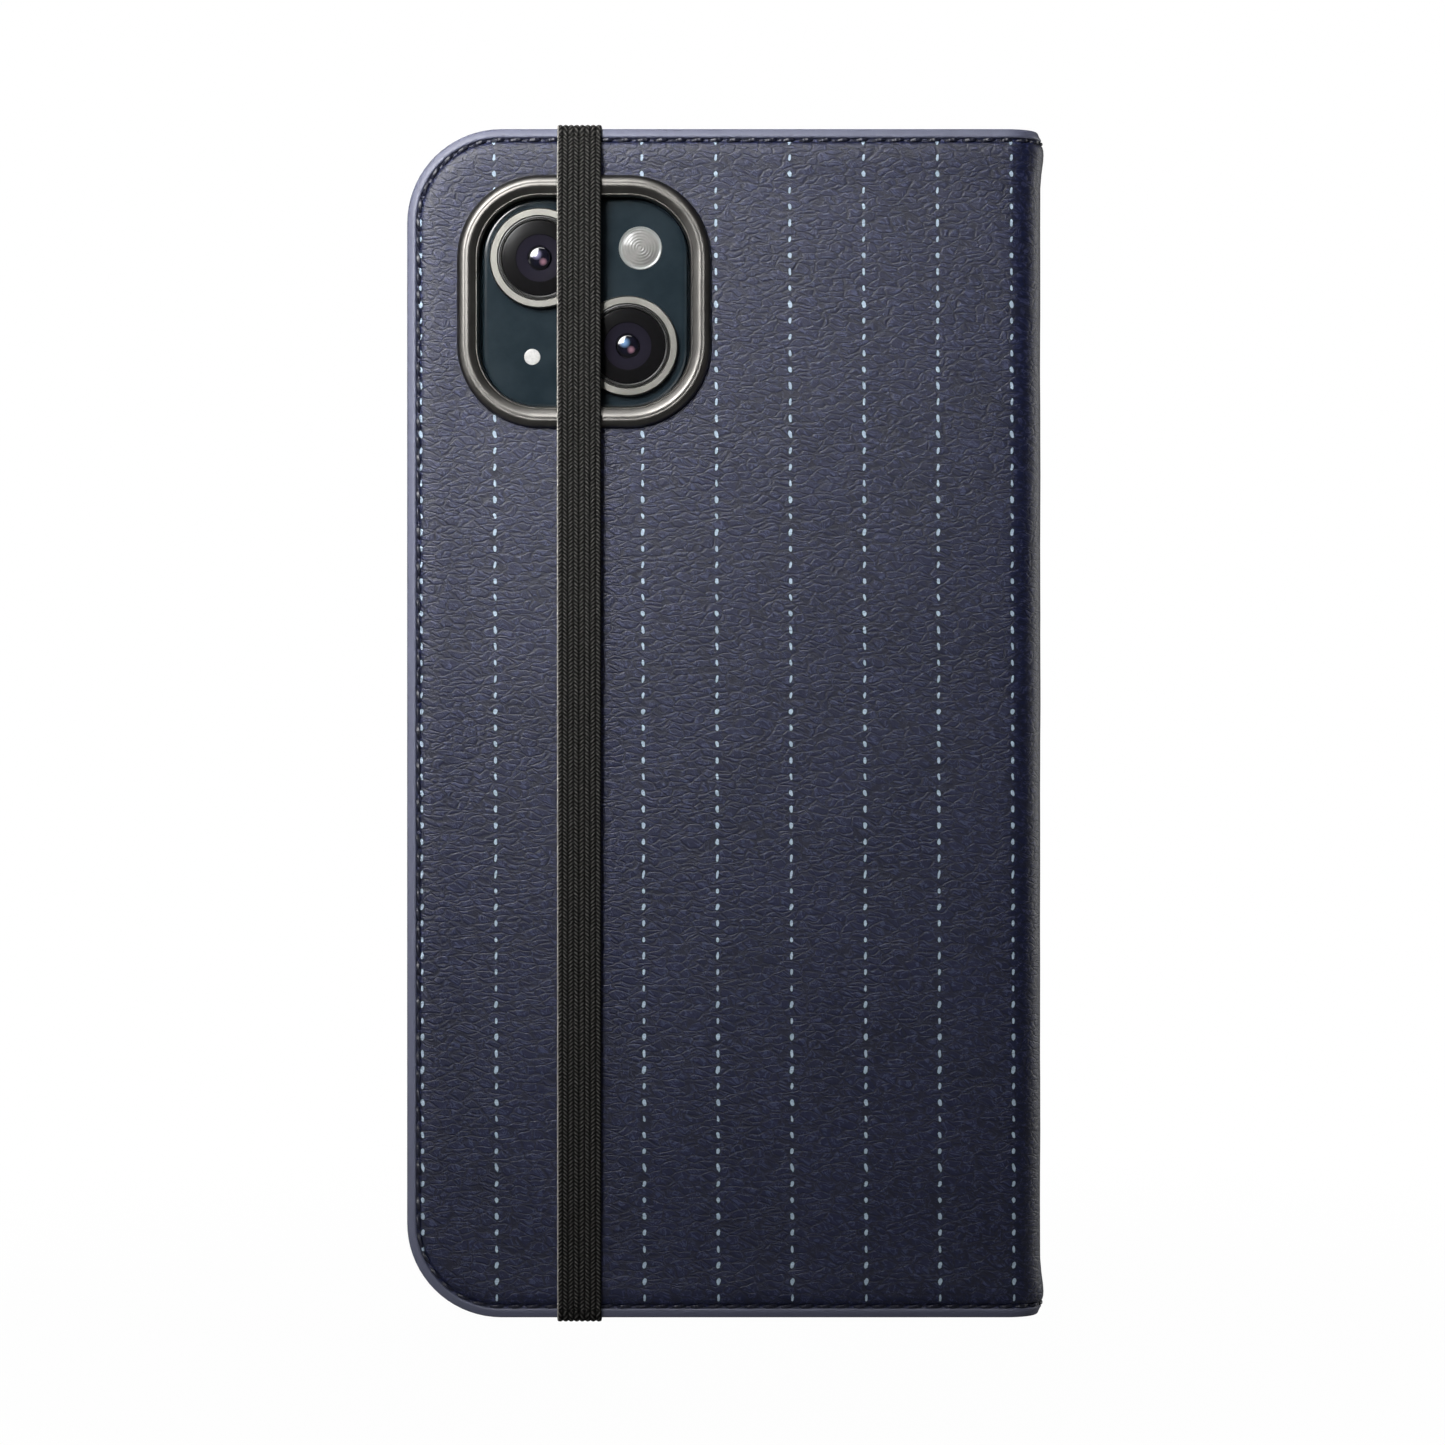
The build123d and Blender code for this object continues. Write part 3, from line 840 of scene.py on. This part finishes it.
def stitch(bm, points, radius, sides=8):
    """One stitch: a tube along points that narrows where it dives at its ends."""
    rings = []
    for k, (centre, across) in enumerate(points):
        width = radius * (0.45 + 0.55 * math.sin(math.pi * (k + 0.5) / len(points)) ** 0.5)
        ring = []
        for u, v in arc(0, 0, width, 0, 360, sides)[:-1]:
            ring.append(centre + across * u + Vector((0, 0, 0.75 * v)))
        rings.append(ring)
    skin_rings(bm, rings, closed=True, cap=True)


def seam_stitches(name, mirrored, material, nodes):
    """The thread of one cover's seam: stitches that lie aslant in the groove and dive between them."""
    bm = bmesh.new()
    at, total = seam_path(SEAM_INSET)
    count = round(total / STITCH_PITCH)
    pitch = total / count
    length = STITCH_LENGTH * pitch / STITCH_PITCH
    for number in range(count):
        start = number * pitch + (pitch - length) / 2
        points = []
        for share in steps(0, 1, 8):
            s, z, (ds, dz) = at(start + share * length)
            across = Vector((-dz, ds, 0))
            slant = across * ((share - 0.5) * STITCH_SLANT)
            depth = 0.16 + 0.4 * abs(2 * share - 1) ** 3 + softened(s, z, SEAM_INSET, 0.0)
            points.append((Vector((s, z, depth)) + slant, across))
        stitch(bm, points, STITCH_RADIUS)
    set_uv(bm, "sheet", flat_place)
    piece = roll_up(name, bm, mirrored, material)
    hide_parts(*nodes)


# The strap


def strap_section(thickness):
    """The strap's cross-section as (across, out) points: ribbed outside, flat inside, round edges."""
    edge = 0.22
    low, high = thickness * 0.25, thickness * 0.7
    section = [(0.0, low), (0.0, high), (0.07, thickness * 0.9)]
    for u in steps(edge, STRAP_WIDTH - edge, 64):
        rib = abs(math.sin(math.pi * u / STRAP_WIDTH * STRAP_RIBS)) ** 0.7
        section.append((u, thickness + STRAP_RELIEF * (rib - 1)))
    section += [(STRAP_WIDTH - 0.07, thickness * 0.9), (STRAP_WIDTH, high)]
    return section + [(STRAP_WIDTH, low), (STRAP_WIDTH - 0.2, 0.0), (0.2, 0.0)]


def strap_length(name, route, material):
    """A length of strap along route: a list of (y, z, out_y, out_z, thickness) at its inner face."""
    bm = bmesh.new()
    rings = []
    weave = []
    along = 0.0
    previous = route[0]
    for station in route:
        along += math.dist(previous[:2], station[:2])
        previous = station
        y, z, out_y, out_z, thickness = station
        section = strap_section(thickness)
        rings.append([(STRAP_LOW.x + across, y + out_y * out, z + out_z * out) for across, out in section])
        weave += [(across, along) for across, _ in section]
    skin_rings(bm, rings, closed=True, cap=True)
    bm.verts.index_update()
    set_uv(bm, "weave", lambda vertex: weave[vertex.index])
    piece = finish_mesh(name, bm, material, angle=60)
    return piece


def straight(start, end, out, thickness, spacing=1.2):
    """Stations along a straight run of strap."""
    count = max(1, round(math.dist(start, end) / spacing))
    spots = zip(steps(start[0], end[0], count), steps(start[1], end[1], count))
    return [(y, z, *out, thickness) for y, z in spots]


def turned(centre, radius, start, end, thickness_a, thickness_b, count=10):
    """Stations round a corner: the inner face on an arc, angles in degrees from +Y towards +Z."""
    spots = arc(*centre, radius, start, end, count)
    outs = arc(0, 0, 1, start, end, count)
    sizes = steps(thickness_a, thickness_b, count)
    return [(*spot, *out, thickness) for spot, out, thickness in zip(spots, outs, sizes)]


def back_span_route():
    """From the bottom corner, straight up to the bezel, over it, and down to the top corner."""
    rest = BACK - STRAP_GAP
    bezel_low, bezel_high = corners("camera_bezel")
    lift = bezel_low.y - STRAP_GAP
    low, high = BOTTOM + STRAP_CORNER, TOP - STRAP_CORNER
    knots = [(rest, low), (lift, bezel_low.z + 0.9), (lift, bezel_high.z - 0.9), (rest, high)]
    stations = []
    for z in steps(low, high, 220):
        y = knots[-1][0]
        for first, second in zip(knots, knots[1:]):
            if first[1] <= z <= second[1]:
                y = first[0] + (second[0] - first[0]) * (z - first[1]) / (second[1] - first[1])
        ease = sum(0.022 * math.exp(-(((z - knot[1]) / 1.6) ** 2)) for knot in knots[1:3])
        stations.append((y - ease, z, -1, 0, SPAN_THICKNESS))
    return stations


def arm_route(top):
    """Round the corner from the back span, then across the case's end to the front cover's pivot."""
    inner = STRAP_CORNER - STRAP_GAP
    sign = 1 if top else -1
    edge = TOP + STRAP_GAP if top else BOTTOM - STRAP_GAP
    centre = (BACK - STRAP_GAP + inner, edge - sign * inner)
    stations = turned(centre, inner, 180, 180 - sign * 90, SPAN_THICKNESS, ARM_THICKNESS)
    run = straight((centre[0], edge), (ARM_HIGH.y, edge), (0, sign), ARM_THICKNESS)
    return stations + run[1:]


def front_route():
    """Hooked round both ends of the front cover and flat along its face."""
    face = FRONT + 0.02
    inner = face - HOOK_CORNER
    hook = corners("strap_front_span")[0].y + 0.02
    low, high = BOTTOM - STRAP_GAP, TOP + STRAP_GAP
    low_turn, high_turn = low + HOOK_CORNER, high - HOOK_CORNER
    stations = straight((hook, low), (inner, low), (0, -1), ARM_THICKNESS, 0.3)
    stations += turned((inner, low_turn), HOOK_CORNER, -90, 0, ARM_THICKNESS, SPAN_THICKNESS)[1:]
    stations += straight((face, low_turn), (face, high_turn), (1, 0), SPAN_THICKNESS)[1:]
    stations += turned((inner, high_turn), HOOK_CORNER, 0, 90, SPAN_THICKNESS, ARM_THICKNESS)[1:]
    return stations + straight((inner, high), (hook, high), (0, 1), ARM_THICKNESS, 0.3)[1:]


def strap(material):
    """The back span, the arms round both ends and the span along the front cover."""
    back = strap_length("strap_back_weave", back_span_route(), material)
    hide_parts("strap_back_span")
    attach(back, "strap_span")
    for end in ("top", "bottom"):
        arm = strap_length(f"strap_{end}_arm_weave", arm_route(end == "top"), material)
        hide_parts(f"strap_{end}_arm")
        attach(arm, "strap_arms")
        squash_arm(arm)
    front = strap_length("strap_front_weave", front_route(), material)
    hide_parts("strap_front_span")
    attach(front, "front_cover")


def squash_arm(arm):
    """Gives an arm a mesh of its own."""
    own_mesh(arm)


def front_thread(name, bm, material, node):
    """Stands up stitches that were laid out as (x, z, y), on the front cover."""
    set_uv(bm, "sheet", flat_place)
    for vertex in bm.verts:
        vertex.co = vertex.co.xzy
    piece = finish_mesh(name, bm, material)
    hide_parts(node)
    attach(piece, "front_cover")


def bar_tacks(material):
    """Two dense bars of slanting stitches that sew the strap to the front cover."""
    bm = bmesh.new()
    low, high = corners("strap_tacks")
    face = FRONT + SPAN_THICKNESS - 0.26
    for z in (low.z + 0.6, high.z - 0.6):
        for x in steps(low.x + 0.2, high.x - 0.2, TACK_STITCHES - 1):
            points = []
            for share in steps(0, 1, 6):
                way = share - 0.5
                lift = face + 0.12 * math.sin(math.pi * share)
                spot = Vector((x + 0.3 * way, z + TACK_STITCH_LENGTH * way, lift))
                points.append((spot, Vector((1, 0, 0))))
            stitch(bm, points, TACK_STITCH_RADIUS)
    front_thread("strap_bar_tacks", bm, material, "strap_tacks")


def dashes(bm, route, level):
    """Running stitches along a flat route, each a low arch."""
    marks = [0.0]
    for first, second in zip(route, route[1:]):
        marks.append(marks[-1] + (second - first).length)

    def at(t):
        for k in range(len(route) - 1):
            if t <= marks[k + 1]:
                way = (route[k + 1] - route[k]).normalized()
                return route[k] + way * (t - marks[k]), way
        return route[-1], (route[-1] - route[-2]).normalized()

    for number in range(int(marks[-1] / POCKET_STITCH_PITCH)):
        points = []
        for share in steps(0, 1, 5):
            spot, way = at(number * POCKET_STITCH_PITCH + POCKET_STITCH_LENGTH * share)
            lift = level + 0.06 - 0.13 * math.sin(math.pi * share)
            points.append((Vector((*spot, lift)), Vector((-way.y, way.x, 0))))
        stitch(bm, points, POCKET_STITCH_RADIUS, sides=6)


def pocket_stitches(material):
    """Running stitches round the three sewn sides of the cash pocket and the card pockets."""
    bm = bmesh.new()
    inset = 1.0
    for node, widest, radius in (
        ("cash_pocket", "cash_pocket", CASH_POCKET_RADIUS - 1.0),
        ("card_pocket_3", "card_pocket_1", CARD_POCKET_RADIUS - 0.8),
    ):
        low, high = corners(node)
        left, right = corners(widest)[0].x + inset, high.x - 1.5
        bottom, top = low.z + inset, high.z - inset
        route = [(right, top)]
        route += arc(left + radius, top - radius, radius, 90, 180, 8)
        route += arc(left + radius, bottom + radius, radius, 180, 270, 8)
        route.append((right, bottom))
        dashes(bm, [Vector(point) for point in route], low.y)
    front_thread("pocket_stitches", bm, material, "pocket_thread")


# The camera window

# The bezel's section: (distance in from its outer edge, height above the leather)
BEZEL_SECTION = [
    (0.3, -0.02),
    (0.02, 0.05),
    (0.0, 0.3),
    (0.1, 0.62),
    (0.3, 0.88),
    (0.55, 1.06),
    (0.85, 1.19),
    (1.08, 1.25),
    (1.2, 1.22),
    (1.34, 1.23),
    (1.55, 1.26),
    (1.78, 1.22),
    (2.1, 1.07),
    (2.4, 0.92),
    (2.62, 0.8),
    (2.7, 0.74),
    (2.76, 0.79),
    (2.84, 0.79),
    (2.94, 0.66),
    (3.06, 0.35),
    (3.1, -SLEEVE_DEPTH),
]

# Turned sections: (radius, height above the face they stand on)
LENS_RING = [(6.0, 0.0), (LENS_REACH, 0.0), (LENS_REACH, 0.95), (7.14, 1.1), (7.02, 1.2)]
LENS_RING += [(6.14, 1.2), (6.04, 1.12), (6.0, 1.0)]
LENS_STEP = [(5.98, 0.0), (5.98, 1.02), (5.82, 1.04), (5.72, 0.9), (5.66, 0.9), (5.58, 1.0)]
LENS_STEP += [(5.48, 0.98), (5.4, 0.6), (5.4, 0.0)]
LENS_GLASS = [(5.39, 0.0), (5.39, 0.78), (5.2, 0.8), (3.45, 0.84), (3.4, 0.74), (1.85, 0.7)]
LENS_GLASS += [(1.78, 0.6), (0.4, 0.6)]
LENS_DOME = [(1.72, 0.55), (1.7, 0.66)]
LENS_DOME += [(1.66 * math.cos(t), 0.66 + 0.3 * math.sin(t)) for t in steps(0.15, 1.5, 8)]
FLASH_SECTION = [(3.1, 0.0), (3.1, 0.06), (3.04, 0.14), (2.9, 0.15), (2.76, 0.1), (2.66, 0.07)]
FLASH_SECTION += [(2.5, 0.12), (0.3, 0.14)]
MICROPHONE_SECTION = [(1.15, 0.0), (1.15, 0.05), (1.08, 0.12), (0.9, 0.14), (0.2, 0.13)]


def nested_rings(low, high, section, radius, count=20, shrink=1.0):
    """Rounded rectangles inside a box, that face along Y. section is a list of (inset, y) pairs."""
    centre = (low + high) / 2
    rings = []
    for inset, y in section:
        width, height = high.x - low.x - 2 * inset, high.z - low.z - 2 * inset
        loop = rounded_loop(centre.x, centre.z, width, height, radius - inset * shrink, count)
        rings.append([(x, y, z) for x, z in loop])
    return rings


def bezel(material):
    """The window's ring: a fat rounded outer band, a step down and a thin inner lip."""
    bm = bmesh.new()
    section = [(inset, BACK - rise) for inset, rise in BEZEL_SECTION]
    rings = nested_rings(*corners("camera_bezel"), section, BEZEL_RADIUS, shrink=1.05)
    sleeve = window_loop(0.1, 10.2)
    for depth in (SLEEVE_DEPTH, 0.3):
        rings.append([(x, BACK + depth, z) for x, z in sleeve])
    skin_rings(bm, rings + rings[:1], closed=True)
    weld(bm, 0.001)
    piece = finish_mesh("camera_window_ring", bm, material, angle=35)
    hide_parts("camera_bezel")
    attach(piece, "back_case")


def island(material):
    """The phone's raised glass camera island, with a soft round edge."""
    bm = bmesh.new()
    low, high = corners("camera_island")
    section = [(0.0, high.y)]
    for inset, depth in ((0.0, 0.5), (0.06, 0.28), (0.2, 0.1), (0.42, 0.0), (0.9, 0.0)):
        section.append((inset, low.y + depth))
    skin_rings(bm, nested_rings(low, high, section, ISLAND_RADIUS), closed=True, cap=True)
    piece = finish_mesh("camera_island_glass", bm, material, angle=35)
    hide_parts("camera_island")
    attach(piece, "back_case")


def lathe(name, centre, section, material, closed=False):
    """A round piece that faces -Y from centre. A closed section gives a ring, and others are filled."""
    bm = bmesh.new()
    rings = []
    for radius, rise in section + section[:1] if closed else section:
        loop = arc(centre.x, centre.z, radius, 0, 360, 96)[:-1]
        rings.append([(x, centre.y - rise, z) for x, z in loop])
    skin_rings(bm, rings, closed=True)
    weld(bm, 0.0005)
    set_uv(bm, "disc", lambda vertex: (vertex.co.x - centre.x, vertex.co.z - centre.z))
    piece = finish_mesh(name, bm, material, angle=35)
    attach(piece, "back_case")
    return piece


def lenses(ring_metal, black_ring, surround):
    """Two lenses: satin ring, dark step, black glass and a domed front element."""
    low, high = corners("lens_rings")
    places = [
        ("upper", low.x + LENS_REACH, high.z - LENS_REACH, pupil("violet", srgb(122, 118, 150))),
        ("lower", high.x - LENS_REACH, low.z + LENS_REACH, pupil("blue", srgb(104, 138, 178))),
    ]
    for name, x, z, element in places:
        centre = Vector((x, high.y, z))
        ring = lathe(f"{name}_lens_ring", centre, LENS_RING, ring_metal, closed=True)
        lathe(f"{name}_lens_step", centre, LENS_STEP, black_ring, closed=True)
        front = lathe(f"{name}_lens_glass", centre, LENS_GLASS, surround)
        lathe(f"{name}_lens_element", centre, LENS_DOME, element)
        if name == "upper":
            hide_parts("lens_rings")
            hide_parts("lens_glasses")


def island_disc(name, node, section, material):
    """A round window that stands on the island's face."""
    low, high = corners(node)
    centre = Vector(((low.x + high.x) / 2, high.y, (low.z + high.z) / 2))
    piece = lathe(name, centre, section, material)
    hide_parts(node)


# The phone's tray, its button pads and the pockets


def prism(name, loops, material):
    """A closed piece through loops of points, one after the other, with flat ends."""
    bm = bmesh.new()
    skin_rings(bm, loops, closed=True, cap=True)
    return finish_mesh(name, bm, material)


def pill_loop(width, height, grow=0.0):
    """A loop about the origin with half-round ends, grown by grow on every side."""
    width, height = width + 2 * grow, height + 2 * grow
    return rounded_loop(0, 0, width, height, min(width, height) / 2 - 0.001, 10)


def across_x(spot, loop, x):
    """A loop about the origin, moved to spot and stood up to face along X."""
    return [(x, spot.y + u, spot.z + v) for u, v in loop]


def cut(piece, cutters):
    """Takes the cutters' shapes out of piece, and removes the cutters."""
    for cutter in cutters:
        change = piece.modifiers.new("opening", "BOOLEAN")
        change.operation = "DIFFERENCE"
        change.object = cutter
        change.solver = "EXACT"
    bpy.context.view_layer.update()
    seen = piece.evaluated_get(bpy.context.evaluated_depsgraph_get())
    mesh = bpy.data.meshes.new_from_object(seen)
    piece.modifiers.clear()
    piece.data = mesh
    mesh.set_sharp_from_angle(angle=math.radians(40))
    for cutter in cutters:
        bpy.data.objects.remove(cutter)


def gel_tray(material):
    """The soft tray: flat base with a camera hole, round-edged walls, and a lip over the screen's rim."""
    low, high = corners("gel_shell")
    inside = corners("phone_back_glass")[0].y
    screen = corners("phone_screen")[1].y
    lip = screen + 0.1
    section = [
        (3.0, inside),
        (1.8, inside),
        (1.4, inside + 0.4),
        (1.4, lip),
        (2.45, lip),
        (2.65, lip + 0.12),
        (2.7, lip + 0.35),
        (2.6, high.y - 0.12),
        (2.35, high.y),
        (1.1, high.y),
        (0.55, high.y - 0.12),
        (0.2, high.y - 0.38),
        (0.02, high.y - 0.8),
        (0.0, high.y - 1.6),
        (0.0, low.y + 2.2),
        (0.05, low.y + 1.3),
        (0.3, low.y + 0.6),
        (0.75, low.y + 0.15),
        (1.3, low.y),
        (3.0, low.y),
    ]
    bm = bmesh.new()
    made = skin_rings(bm, nested_rings(low, high, section, TRAY_RADIUS, count=16), closed=True)
    hole = window_loop(0.4, 10.5, count=10)
    walls = skin_rings(bm, [[(x, y, z) for x, z in hole] for y in (inside, low.y)], closed=True)
    fill_between(bm, made[0], walls[0])
    fill_between(bm, made[-1], walls[1])
    piece = finish_mesh("gel_tray", bm, material)
    cut(piece, tray_openings(low, high, (inside + screen) / 2, material))
    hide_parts("gel_shell")
    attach(piece, "back_case")


def tray_openings(low, high, port_y, material):
    """Cutters for the ports in the bottom wall and the slots round the button pads."""
    cutters = []
    centre_x = (low.x + high.x) / 2
    for offset, width, depth in PORT_OPENINGS:
        loop = [(centre_x + offset + u, port_y + v) for u, v in pill_loop(width, depth)]
        loops = [[(x, y, z) for x, y in loop] for z in (low.z - 1, low.z + WALL_CUT)]
        cutters.append(prism("port_cutter", loops, material))
    for node in PAD_NODES:
        pad_low, pad_high = corners(node)
        spot = (pad_low + pad_high) / 2
        loop = pill_loop(pad_high.y - pad_low.y, pad_high.z - pad_low.z, grow=PAD_GAP)
        edge = low.x if spot.x < 0 else high.x
        loops = [across_x(spot, loop, x) for x in (edge - WALL_CUT, edge + WALL_CUT)]
        cutters.append(prism("pad_cutter", loops, material))
    return cutters


def button_pads(material):
    """Soft domed pads, each with a shallow dished top, that ride on their own buttons."""
    top = [(0.0, 0.28), (0.07, 0.12), (0.2, 0.03), (0.42, 0.0), (0.75, 0.03), (1.1, 0.09), (1.5, 0.11)]
    for node in PAD_NODES:
        low, high = corners(node)
        spot = (low + high) / 2
        inner, outer, side = (high.x, low.x, -1) if spot.x < 0 else (low.x, high.x, 1)
        loops = []
        for inset, x in [(0.0, inner)] + [(inset, outer - side * fall) for inset, fall in top]:
            loops.append(across_x(spot, pill_loop(high.y - low.y, high.z - low.z, grow=-inset), x))
        piece = prism(node.replace("_pad", "_cap"), loops, material)
        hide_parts(node)
        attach(piece, node.replace("_pad", ""))


def pocket_outline(low, high, radius, inset):
    """A pocket's outline: square at its mouth, with a thumb notch, and round at its far corners."""
    left, right = low.x + inset, high.x - inset
    bottom, top = low.z + inset, high.z - inset
    centre_x, centre_z = high.x + THUMB_RADIUS / 3, (low.z + high.z) / 2
    reach = THUMB_RADIUS + inset
    half = math.degrees(math.acos((centre_x - right) / reach))
    radius -= inset
    points = [(right, bottom)]
    points += arc(centre_x, centre_z, reach, 180 + half, 180 - half, 20)
    points.append((right, top))
    points += arc(left + radius, top - radius, radius, 90, 180, 12)
    return points + arc(left + radius, bottom + radius, radius, 180, 270, 12)


def pocket_sheets(material):
    """The cash pocket and the card pockets: thin soft-edged sheets that lie one on the other."""
    edge = [(0.0, 0.2), (0.06, 0.08), (0.2, 0.01), (0.4, 0.0), (0.75, 0.03)]
    edge += [(1.0, 0.06), (1.3, 0.04), (1.8, 0.0)]
    for node in ("cash_pocket", "card_pocket_1", "card_pocket_2", "card_pocket_3"):
        low, high = corners(node)
        radius = CASH_POCKET_RADIUS if node == "cash_pocket" else CARD_POCKET_RADIUS
        section = [(0.1, high.y), (0.0, high.y - 0.1)] + [(inset, low.y + rise) for inset, rise in edge]
        bm = bmesh.new()
        rings = [[(x, y, z) for x, z in pocket_outline(low, high, radius, inset)] for inset, y in section]
        made = skin_rings(bm, rings, closed=True)
        fill_between(bm, made[0])
        fill_between(bm, made[-1])
        piece = finish_mesh(node + "_sheet", bm, material)
        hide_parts(node)
        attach(piece, "front_cover")


def spine_board(material):
    """The strip of board in the spine, short enough for the leather to close over its ends."""
    low, high = corners("spine_stiffener")
    spot = (low + high) / 2
    width, height = high.y - low.y, high.z - low.z - 2 * SPINE_BOARD_GAP
    loops = []
    for inset, x in ((0.15, low.x + 0.01), (0.0, low.x + 0.1), (0.0, high.x - 0.1), (0.15, high.x - 0.01)):
        loop = rounded_loop(0, 0, width - 2 * inset, height - 2 * inset, 0.6, count=4)
        loops.append(across_x(spot, loop, x))
    piece = prism("spine_board", loops, material)
    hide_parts("spine_stiffener")
    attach(piece, "spine")


# Stage


def area_light(name, place, target, size, power, spread=180):
    """A soft box. A spread under 180 degrees narrows its beam, as a grid does."""
    data = bpy.data.lights.new(name, "AREA")
    data.shape = "RECTANGLE"
    data.size, data.size_y = size
    data.energy = power
    data.spread = math.radians(spread)
    light = bpy.data.objects.new(name, data)
    bpy.context.scene.collection.objects.link(light)
    light.location = place
    way = Vector(target) - Vector(place)
    light.rotation_euler = way.to_track_quat("-Z", "Y").to_euler()


def lights():
    centre = (0, 0, (TOP + BOTTOM) / 2 * MM)
    area_light("key", (-0.2, -0.35, 0.35), (-0.1, 0, 0.21), (0.26, 0.26), 0.56, spread=48)
    area_light("fill", (-0.42, -0.24, 0.06), centre, (0.1, 0.2), 0.15)
    area_light("left_strip", (-0.38, -0.4, 0.14), centre, (0.06, 0.4), 0.08)
    area_light("right_strip", (0.42, -0.3, 0.1), centre, (0.02, 0.4), 0.03)
    area_light("spine_side", (0.42, 0.22, 0.1), centre, (0.12, 0.5), 0.95)
    area_light("overhead", (-0.05, -0.36, 0.52), (-0.02, 0, 0.18), (0.3, 0.06), 0.19, spread=100)
    area_light("rear", (-0.1, 0.75, 0.5), centre, (0.6, 0.6), 6.0)


def world():
    """White to the camera, and a faint even light on everything else."""
    made = bpy.data.worlds.new("studio")
    bpy.context.scene.world = made
    made.use_nodes = True
    tree = made.node_tree
    back = tree.nodes["Background"]
    back.inputs["Color"].default_value = (1, 1, 1, 1)
    path = tree.nodes.new("ShaderNodeLightPath")
    level = tree.nodes.new("ShaderNodeMapRange")
    tree.links.new(path.outputs["Is Camera Ray"], level.inputs["Value"])
    level.inputs["To Min"].default_value = WORLD_LIGHT
    level.inputs["To Max"].default_value = 1.0
    tree.links.new(level.outputs[0], back.inputs["Strength"])


def pale_floor():
    """Near white with soft shadows to the camera, and white further out."""
    shader = Shader("pale_floor")
    spot = shader.place()
    grit = shader.noise(spot, 0.02, detail=4)
    shader.set(Base_Color=shader.blend(grit, srgb(148, 148, 148), srgb(156, 156, 156)), Roughness=0.8)
    shader.set(Specular_IOR_Level=0.1)
    x, y, _ = shader.split(spot)
    far = shader.span(shader.length(x, y), 60.0, 240.0, 0.985, 1.0)
    seen = shader.fill(shader.node("ShaderNodeLightPath"), "Is Camera Ray")
    body = Value(shader, shader.surface.outputs[0])
    glow = shader.fill(shader.node("ShaderNodeEmission"), 0)
    both = shader.feed(shader.node("ShaderNodeMixShader"), far * seen, body, glow)
    shader.put(shader.tree.nodes["Material Output"].inputs["Surface"], both)
    return shader.material


def floor():
    """A floor that fades into the white of the studio away from the object. Its rings are in metres."""
    bm = bmesh.new()
    rings = []
    for radius in (0.02, 0.4, 0.8, 1.6, 4.0, 12.0):
        rings.append([(x, y, 0) for x, y in arc(0, 0, radius, 0, 360, 64)[:-1]])
    made = skin_rings(bm, rings, closed=True)
    bm.faces.new(made[0])
    finish_mesh("floor", bm, pale_floor(), scale=1.0)


def camera():
    data = bpy.data.cameras.new("camera")
    data.sensor_width = 36.0
    data.lens = data.sensor_width * CAMERA_DISTANCE / VIEW_WIDTH
    data.clip_start = 0.02
    made = bpy.data.objects.new("camera", data)
    bpy.context.scene.collection.objects.link(made)
    made.location = (-0.00033, BACK * MM - CAMERA_DISTANCE, (TOP + BOTTOM) / 2 * MM + 0.0001)
    made.rotation_euler = (math.radians(90), 0, 0)
    bpy.context.scene.camera = made


def paint(node, material):
    """Gives a CAD node that stays in view its finished material."""
    piece = frame["nodes"][node]
    piece.data.materials.clear()
    piece.data.materials.append(material)


def build():
    navy = leather()
    navy_thread = thread("navy_thread", srgb(17, 19, 34))
    fibre = microfibre()
    leather_sheet("leather_back", False, navy, ["back_cover_skin", "spine_skin"])
    leather_sheet("leather_front", True, navy, ["front_cover_skin"])
    seam_stitches("back_stitches", False, navy_thread, ["back_seam_thread", "spine_seam_threads"])
    seam_stitches("front_stitches", True, navy_thread, ["front_seam_thread"])
    lining_sheet("lining_back", False, fibre, ["back_cover_lining", "spine_lining"])
    lining_sheet("lining_front", True, fibre, ["front_cover_lining"])
    strap(elastic())
    bar_tacks(thread("black_thread", srgb(24, 24, 25)))
    bezel(metal("gunmetal", srgb(106, 104, 101), 0.38))

    island(glass("teal_glass", srgb(25, 35, 41), 0.12))
    ring_metal = metal("satin_ring", srgb(118, 117, 112), 0.4)
    lenses(ring_metal, plain("lens_black", srgb(17, 17, 15), 0.35), lens_glass())
    island_disc("flash_window_glass", "flash_window", FLASH_SECTION, flash_lens())
    pale_dot = plain("pale_dot", srgb(186, 185, 183), 0.4, 3.0, 0.02)
    island_disc("microphone_port_dot", "microphone_port", MICROPHONE_SECTION, pale_dot)

    soft_gel = gel()
    pocket_stitches(navy_thread)
    gel_tray(soft_gel)
    button_pads(soft_gel)
    pocket_sheets(fibre)

    board = plain("grey_board", srgb(150, 144, 134), 0.85, 2.0, 0.05)
    spine_board(board)
    paint("back_cover_board", board)
    paint("front_cover_board", board)
    paint("shell_adhesive", plain("adhesive_film", srgb(205, 205, 200), 0.5, 0.8, 0.02))
    paint("phone_frame", metal("phone_aluminium", srgb(150, 150, 152), 0.32))
    # The phone's back glass is painted much lighter than the island's glass: painted light for where it
    # shows in the shaded gap round the island.
    paint("phone_back_glass", glass("phone_back", srgb(66, 84, 94), 0.2))
    paint("phone_screen", glass("screen_glass", srgb(9, 9, 11), 0.05))


bpy.context.scene.view_settings.view_transform = "Standard"
camera()
world()
lights()
floor()
build()
